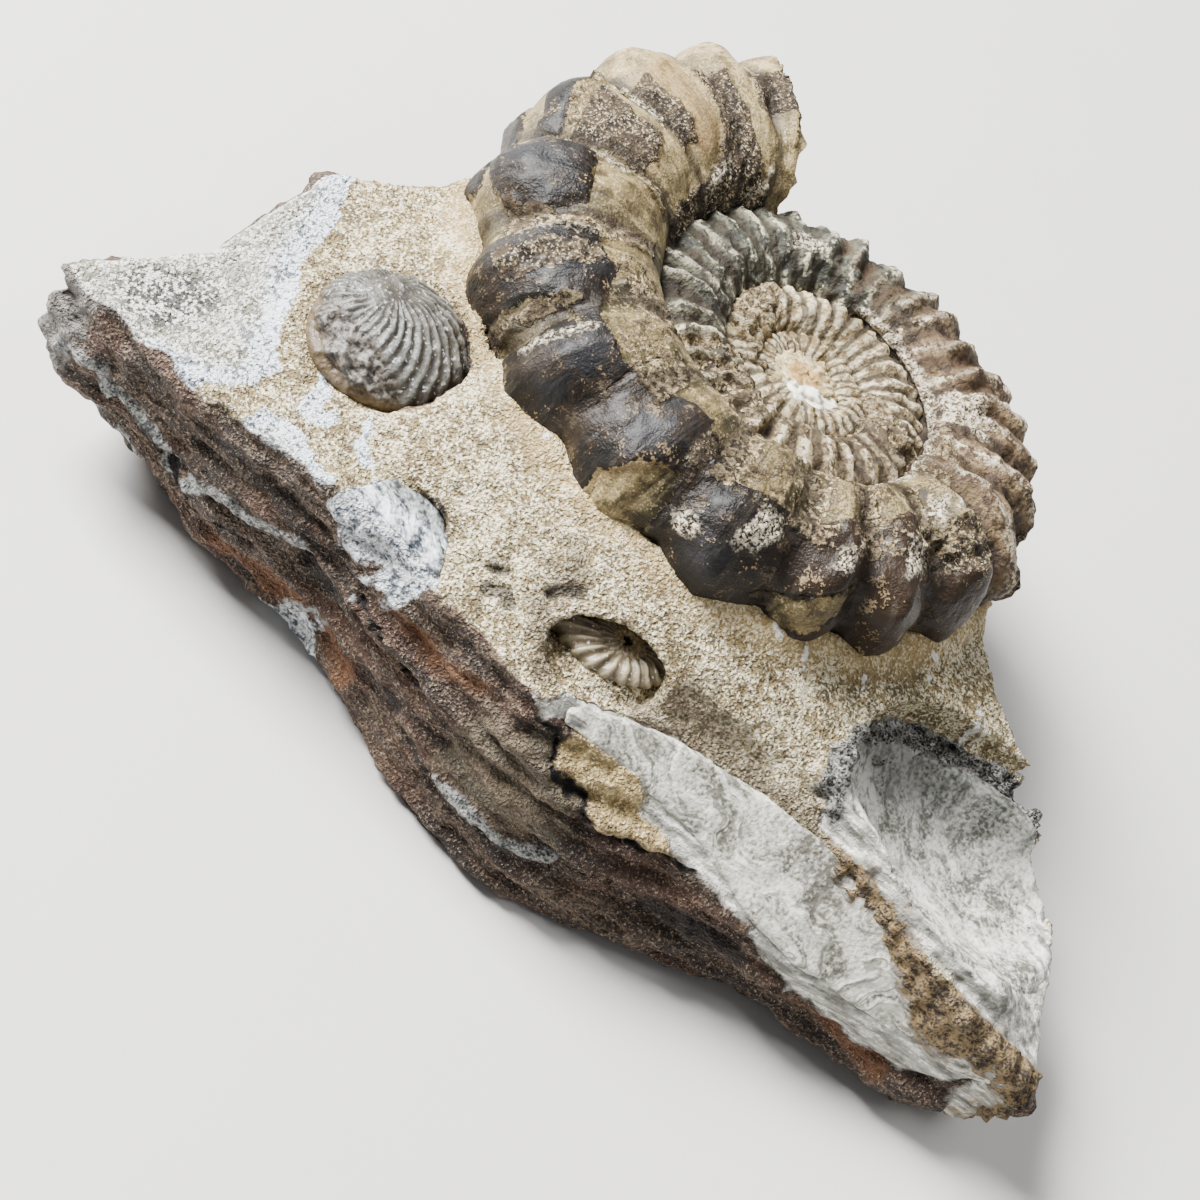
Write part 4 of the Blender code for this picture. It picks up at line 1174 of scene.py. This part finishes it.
# %% Sandy skin and crust
mottle = f.mix((fine + (cloud - 0.5) * 0.8).over(0.5, 0.25), "1c1712", "5a4c3a")
mottle = f.mix((grit + (fine - 0.5) * 0.6).over(0.6, 0.05) * 0.85, mottle, "b8a98a")
mottled = f.area("mottled")
colour = f.mix(mottled, colour, mottle)
crusty = f.mix(fine.over(0.5, 0.2), "62503a", "b09b74")
crusty = f.mix(grit.over(0.55, 0.1) * 0.85, crusty, "dccdaa")
crusty = f.mix((cloud + (grit - 0.5) * 0.5).over(0.56, 0.08) * 0.85, crusty, "33281d")
stuck = fine + cloud - rib * 0.1 - turn.over(0.36, 0.1) * 0.06
crust = f.area("crust", 0.12) * stuck.over(0.93, 0.1)

# %% The older turns
# crusty, brown or grey over fine ribs
old = (turn + (cloud - 0.5) * 0.03).over(0.6, 0.02)
stain = cloud + (fine - 0.5) * 0.7
aged = f.mix(stain.over(0.5, 0.2), "43352a", "8b7657")
for begins, blur, share, spread, low, high in (
        (0.87, 0.08, 1.0, 0.2, "35352f", "73725f"),
        (1.3, 0.15, 1.0, 0.15, "4a3e2e", "a08e6c"),
        (1.8, 0.3, 0.8, 0.2, "84714f", "d6c9a8")):
    older = f.mix(stain.over(0.5, spread), low, high)
    aged = f.mix(turn.over(begins, blur) * share, aged, older)
# painted shade: the grooves between the fine ribs of the older turns are darkened
aged = f.mix((0.0 - rib + (cloud - 0.5)).over(0.35, 0.6) * 0.8, aged, "241c14")
limed = rib * 0.6 + (fine - 0.5) * 1.6 + (cloud - 0.5) * 2.2 + (grit - 0.5) * 0.8
aged = f.mix(limed.over(0.6, 0.25) * 0.85, aged, "d5cbb2")
rusted = (broad + (cloud - 0.5) * 0.8).over(0.58, 0.12) * (1.0 - turn.over(0.97, 0.02))
aged = f.mix(rusted * 0.3, aged, "75583a")
# painted shade: the lower half of the older turns' tube is darkened
flank = (top + (cloud - 0.5) * 0.4).over(0.1, 0.3)
aged = f.mix((1.0 - flank) * (1.0 - turn.over(0.97, 0.02)) * 0.6, aged, "30261c")
colour = f.mix(old * (1.0 - mottled), colour, aged)
colour = f.mix(crust, colour, crusty)

# %% White lime, grooves with painted shade, cracks and a painted shadow band
white = f.area("white", 0.6, 1.1) * (fine + (grit - 0.5)).over(0.44, 0.14) * 0.9
colour = f.mix(white, colour, f.mix(fine.over(0.5, 0.3), "a39172", "efe6d0"))
# painted shade: the grooves between the ribs of the newer turns are darkened
groove = (0.0 - rib + (cloud - 0.5) * 0.8).over(0.55, 0.5) * (1.0 - white)
colour = f.mix(groove * (1.0 - old) * 0.75, colour, "1d160f")
dips = (cloud + (broad - 0.5) + (fine - 0.5) * 0.3).over(0.6, 0.12) * (1.0 - white)
colour = f.mix(dips * 0.55, colour, "2a2016")
# dark cracks, and along the seam of the whorls a painted shadow band
crack_and_shadow = f.area("crack_and_shadow", 0.1, 0.15)
colour = f.mix(crack_and_shadow * 0.85, colour, "231a13")
colour = f.mix(f.mark("end").over(0.12, 0.05), colour, mottle)

# %% Gloss and small relief of the ammonite
rough_part = crust + white + mottled * 0.6 + old * 0.35
rough = 0.34 + 0.25 * fine + rough_part * (fine * 0.35 + 0.25)
height = 0.16 * dark_mask + mottled * (0.1 + 0.2 * fine) + crust * (0.12 + 0.25 * fine)
height = height + white * (0.1 + 0.12 * fine) + 0.1 * fine + 0.06 * grit + 0.12 * cloud
height = height + old * 0.2 * fine - crack_and_shadow * 0.15 + (1.0 - old) * (1.0 - mottled) * 0.12 * growth
f.shader.inputs["Coat Roughness"].default_value = 0.25
f.link(dark_mask * (1.0 - old) * (1.0 - crust) * 0.06, f.shader.inputs["Coat Weight"])
shell_stone = f.finish(colour, rough, height, 1.0, 0.24)
wear(outer_whorl, shell_stone)
wear(inner_whorls, shell_stone)
print("ammonite finish:", len(f.tree.nodes), "nodes")

# %% Finish of the middle of the coil
f = Finish("coil_core_sand")
fine, cloud = f.cloud(0.3, 3.0, 1.0), f.cloud(0.9, 3.0, 2.0)
colour = f.mix((fine + (cloud - 0.5)).over(0.5, 0.25), "8a774f", "cdbd92")
middle = (f.mark("across") * f.mark("across") + f.mark("up") * f.mark("up")
          + (cloud - 0.5) * 2.0)
colour = f.mix((1.0 - middle.over(1.8, 1.2)) * 0.75, colour, "a37b42")
colour = f.mix((cloud - (fine - 0.5) * 0.5).over(0.6, 0.1) * 0.6, colour, "584631")
white = (0.0 - f.mark("up") + (cloud - 0.5) * 1.8).over(1.15, 0.15)
colour = f.mix(white, colour, "f4efe0")
wear(core, f.finish(colour, 0.6 + 0.2 * fine, 0.14 * fine + 0.1 * cloud, 0.9))
print("core finish:", len(f.tree.nodes), "nodes")

# %% [markdown]
# ## Finish of the rock
# The bedding face is pale sand, grain beside grain, light and dark. The broken side is dark brown
# and laminated, with thin grey layers of calcite and rusty spots. One material wears the whole
# skin, because the finishes meet along ragged edges that no edge of the mesh follows.

# %% Finish of the rock
f = Finish("matrix_rock")
grain, speck = f.cloud(0.18, 1.0, 1.0), f.cloud(0.24, 2.0, 2.0)
crumb, spots = f.cloud(0.6, 4.0, 3.0, roughness=0.65), f.cloud(1.2, 3.0, 6.0)
cloud, broad = f.cloud(3.0, 3.0, 4.0), f.cloud(8.0, 2.0, 8.0)
layer = f.cloud(2.4, 4.0, 5.0, (3.0, 3.0, 0.35))
f.wobble = (crumb - 0.5) * 1.0 + (spots - 0.5) * 1.0

# %% Sand of the bedding face
sand = f.mix((crumb + (cloud - 0.5) * 0.4).over(0.5, 0.2), "83724f", "c8b689")
ochre = (f.mark("ochre") * 0.1 + (cloud - 0.5) * 0.9).over(0.15, 0.5)
sand = f.mix(ochre * 0.6, sand, "a98b57")
sand = f.mix((spots + (crumb - 0.5) * 0.7).over(0.58, 0.1) * 0.6, sand, "564a34")
sand = f.mix((grain + (crumb - 0.5) * 0.4).over(0.57, 0.08) * 0.85, sand, "3f3626")
pale = speck + (crumb - 0.5) * 0.6 + (cloud - 0.5) * 0.35
sand = f.mix(pale.over(0.525, 0.08) * 0.9, sand, "f3e8c8")
sand = f.mix((grain + (spots - 0.5) * 0.6).over(0.58, 0.06) * 0.75, sand, "564831")
glow = (f.mark("lip") + (cloud - 0.5) * 2.0).over(1.3, 1.6)
sand = f.mix((1.0 - glow) * 0.5, sand, "c3a873")

# %% The white film and the brown stains
near_sand = 1.0 - (f.mark("film") * 0.2 + (cloud - 0.5) * 0.5).over(0.35, 0.3)
oval = f.area("oval", 1.2)
film = f.mix((cloud + (spots - 0.5) * 0.6).over(0.52, 0.2), "9d9a8c", "75715f")
film = f.mix(near_sand, film, "6a737c")
film = f.mix(oval, film, "4b4845")
fleck = f.cloud(0.3, 3.0, 9.0, roughness=0.6)
flecks = (fleck + (spots - 0.5) * 0.4 + near_sand * 0.07 + oval * 0.01).over(0.515, 0.06)
film = f.mix(flecks * 0.95, film, f.mix(near_sand, "e9e7dd", "e9f1f8"))
top = f.mix(f.area("film", 0.15), sand, film)
brown = f.mix(speck.over(0.5, 0.2), "3f352a", "7b6c56")
top = f.mix(f.area("brown", 0.8, 1.6) * 0.7, top, brown)
top = f.mix(f.area("crumb", 0.1, 0.4), top, "f1eee6")

# %% The broken side
side = f.mix((layer + (cloud - 0.5) * 0.5).over(0.5, 0.3), "241b15", "3c2f26")
red = (f.cloud(2.2, 3.0, 7.0, (3.0, 3.0, 0.6)) + (broad - 0.5) * 0.6).over(0.55, 0.15)
side = f.mix(red * 0.6, side, "4f3426")
side = f.mix((speck + (layer - 0.5) * 0.4).over(0.57, 0.08) * 0.65, side, "75624e")
side = f.mix(grain.over(0.66, 0.05) * 0.7, side, "a3937d")
side = f.mix(f.area("sandy", 0.9) * 0.35, side, "6b6450")
side = f.mix(f.area("tip", 0.6) * 0.75, side, f.mix(crumb.over(0.5, 0.2), "4e4a45", "8c8a84"))
side = f.mix(f.area("rusty", 0.8) * 0.4, side, "84522b")
yellow = f.mix(crumb.over(0.5, 0.3), "7a6742", "c6ad78")
yellow = f.mix((spots + (crumb - 0.5) * 0.8).over(0.55, 0.15) * 0.7, yellow, "604a31")
side = f.mix(f.area("yellow", 0.3), side, f.mix(speck.over(0.58, 0.08), yellow, "d2c193"))
grey = f.mix((crumb + (grain - 0.5) * 0.5).over(0.5, 0.2), "474947", "a3a39f")
side = f.mix(f.area("lamina", 0.25, 0.6), side, grey)
side = f.mix(f.area("side_dark", 0.5) * 0.7, side, "1c1a19")

# %% Shell and dark edges in the rock
streak = f.cloud(0.5, 4.0, 11.0, (7.0, 1.5, 1.0), 0.6)
nacre = f.mix((streak + (crumb - 0.5) * 0.4).over(0.5, 0.3), "6b6a63", "cfccc0")
nacre = f.mix((streak + (speck - 0.5) * 0.5).over(0.6, 0.08), nacre, "f0ede4")
side = f.mix(f.area("silver", 0.25, 0.5), side, nacre)
sides = (f.mark("sides") + (crumb - 0.5) * 0.5).over(0.5, 0.2)
colour = f.mix(sides, top, side)
pearl = f.mix((crumb + (speck - 0.5) * 0.5).over(0.5, 0.2), "474e57", "e6e9ea")
colour = f.mix(f.area("pearl", 0.15, 0.4), colour, pearl)
# the rim: partly dark crumbly stone, partly painted shade on the hollow's steep upper wall
rim = f.mix((crumb + (grain - 0.5)).over(0.5, 0.2), "211f1c", "85827b")
rim = f.mix((streak + (speck - 0.5) * 0.6).over(0.6, 0.08) * 0.7, rim, "c3c4c0")
colour = f.mix(f.area("lining", 0.3, 0.5), colour, nacre)
colour = f.mix(f.area("rim", 0.3), colour, rim)
ridge = f.mix((crumb + (grain - 0.5) * 0.6).over(0.5, 0.2), "33291f", "86714f")
colour = f.mix(f.area("ridge", 0.3), colour, ridge)
colour = f.mix(f.area("pit_dark", 0.15, 0.2) * 0.8, colour, "1f1914")
colour = f.mix(f.area("side_crack", 0.1, 0.3), colour, "120d0a")

# %% Gloss and small relief of the rock
rough = 0.66 + 0.3 * crumb - f.area("film", 0.2) * 0.12
shelly = 1.0 - 0.8 * (f.area("silver", 0.4, 0.5) * sides + f.area("lining", 0.4, 0.5)).over(0.5, 1)
height = 0.28 * grain + 0.3 * speck + 0.5 * crumb * (1.0 - sides) + sides * 0.4 * layer
height = (height + sides * 0.35 * crumb) * shelly + 0.3 * streak * (1.0 - shelly)
wear(rock, f.finish(colour, rough, height, 1.0, 0.45))
print("rock finish:", len(f.tree.nodes), "nodes")

# %% [markdown]
# ## Finishes of the small fossils
# Dark grey stone for the dome, olive horn for the young ammonite, and three kinds of nacre gone
# silvery grey, where darker layers show between the bright ones. The nacres differ only in tones
# and in the size of their layers, so one function makes all three.

# %% Finish of the dome
f = Finish("dark_shell")
fine, grit, cloud = f.cloud(0.35, 3.0, 1.0), f.cloud(0.2, 1.0, 2.0), f.cloud(1.3, 3.0, 3.0)
crushed, rib = f.mark("crushed"), f.mark("rib")
colour = f.mix(cloud.over(0.5, 0.3), "332f29", "565149")
# lighter on the rib crests, partly at random and partly as painted highlight, and painted shade
# between the ribs
colour = f.mix((rib + (fine - 0.5) * 2.0).over(0.45, 0.7) * 0.6, colour, "7f817c")
colour = f.mix((0.0 - rib + (fine - 0.5)).over(0.5, 0.6) * 0.7, colour, "221e1a")
colour = f.mix((fine + (grit - 0.5) * 0.5).over(0.66, 0.05) * 0.8, colour, "aeb2b1")
colour = f.mix((crushed + (cloud - 0.5)).over(0.55, 0.3) * 0.8, colour,
               f.mix(fine.over(0.5, 0.1), "241f1b", "6a6157"))
low = 1.0 - (f.mark("height") + (cloud - 0.5) * 0.8).over(0.4, 0.5)
colour = f.mix(low * 0.7, colour, "5c4a2f")
wear(dome, f.finish(colour, 0.3 + 0.35 * fine, 0.08 * fine + 0.05 * grit, 0.9))
print("dome finish:", len(f.tree.nodes), "nodes")

# %% Finish of the young ammonite
f = Finish("olive_shell")
fine, cloud = f.cloud(0.25, 2.0, 1.0), f.cloud(1.0, 3.0, 3.0)
colour = f.mix(cloud.over(0.5, 0.3), "554b39", "83765d")
# lighter on the rib crests, partly at random and partly as painted highlight
colour = f.mix((f.mark("rib") + (fine - 0.5)).over(0.3, 0.8) * 0.7, colour, "a2957b")
colour = f.mix(f.mark("turn").over(1.3, 0.3) * 0.7, colour,
               f.mix(fine.over(0.5, 0.1), "8d7752", "c6b08a"))
colour = f.mix(fine.over(0.68, 0.05), colour, "e4e1d6")
wear(young, f.finish(colour, 0.25 + 0.3 * fine, 0.06 * fine, 0.9))
print("young ammonite finish:", len(f.tree.nodes), "nodes")


# %% Nacre of the thin shells
def nacre_finish(name, deep, light, bright, size, stretch, share):
    """Layers of nacre: dark between light ones, brightest where the surface is freshest."""
    f = Finish(name)
    fine, grit, cloud = f.cloud(0.3, 2.0, 1.0), f.cloud(0.2, 1.0, 2.0), f.cloud(size * 3, 3.0, 3.0)
    wide = f.streak(size, stretch, 4.0, 1.0)
    thin = f.streak(size * 0.35, stretch * 1.5, 3.0, 2.0)
    colour = f.mix((wide + (fine - 0.5) * 0.6).over(0.47, 0.3), deep, light)
    bare = cloud * 0.6 + (wide - 0.2) + (fine - 0.5) * 0.6 + (grit - 0.5) * 0.5
    colour = f.mix(bare.over(share + 0.1, 0.35) * 0.9, colour, bright)
    colour = f.mix((thin + (cloud - 0.5) * 0.5).over(0.6, 0.08) * 0.7, colour, deep)
    shade = (f.mark("shade") + (cloud - 0.5) * 0.8).over(0.5, 0.8)
    colour = f.mix(shade * 0.75, colour, f.mix(fine.over(0.5, 0.2), "2f302a", "62655f"))
    height = 0.16 * wide + 0.1 * thin + 0.1 * fine
    return f.finish(colour, 0.3 + 0.35 * fine, height, 0.9)


wear(scrap, nacre_finish("pearl", "262d37", "989ea3", "f1f4f5", 0.7, 2.0, 0.55))
wear(silver_sheet, nacre_finish("silver_shell", "625f56", "b0ab9b", "ebe7da", 0.5, 9.0, 0.5))
wear(lining, nacre_finish("grey_shell", "595a50", "a5a397", "f0ede4", 2.0, 1.3, 0.48))
print("nacres: pearl, silver_shell, grey_shell")

# %% Finish of the floor
f = Finish("floor")
cloud = f.cloud(8.0, 2.0, 1.0)
wear(floor, f.finish(f.mix(cloud, "d6d4d0", "dad8d4"), 0.6, 0.02 * cloud, 0.2))
print("materials:", len(bpy.data.materials))
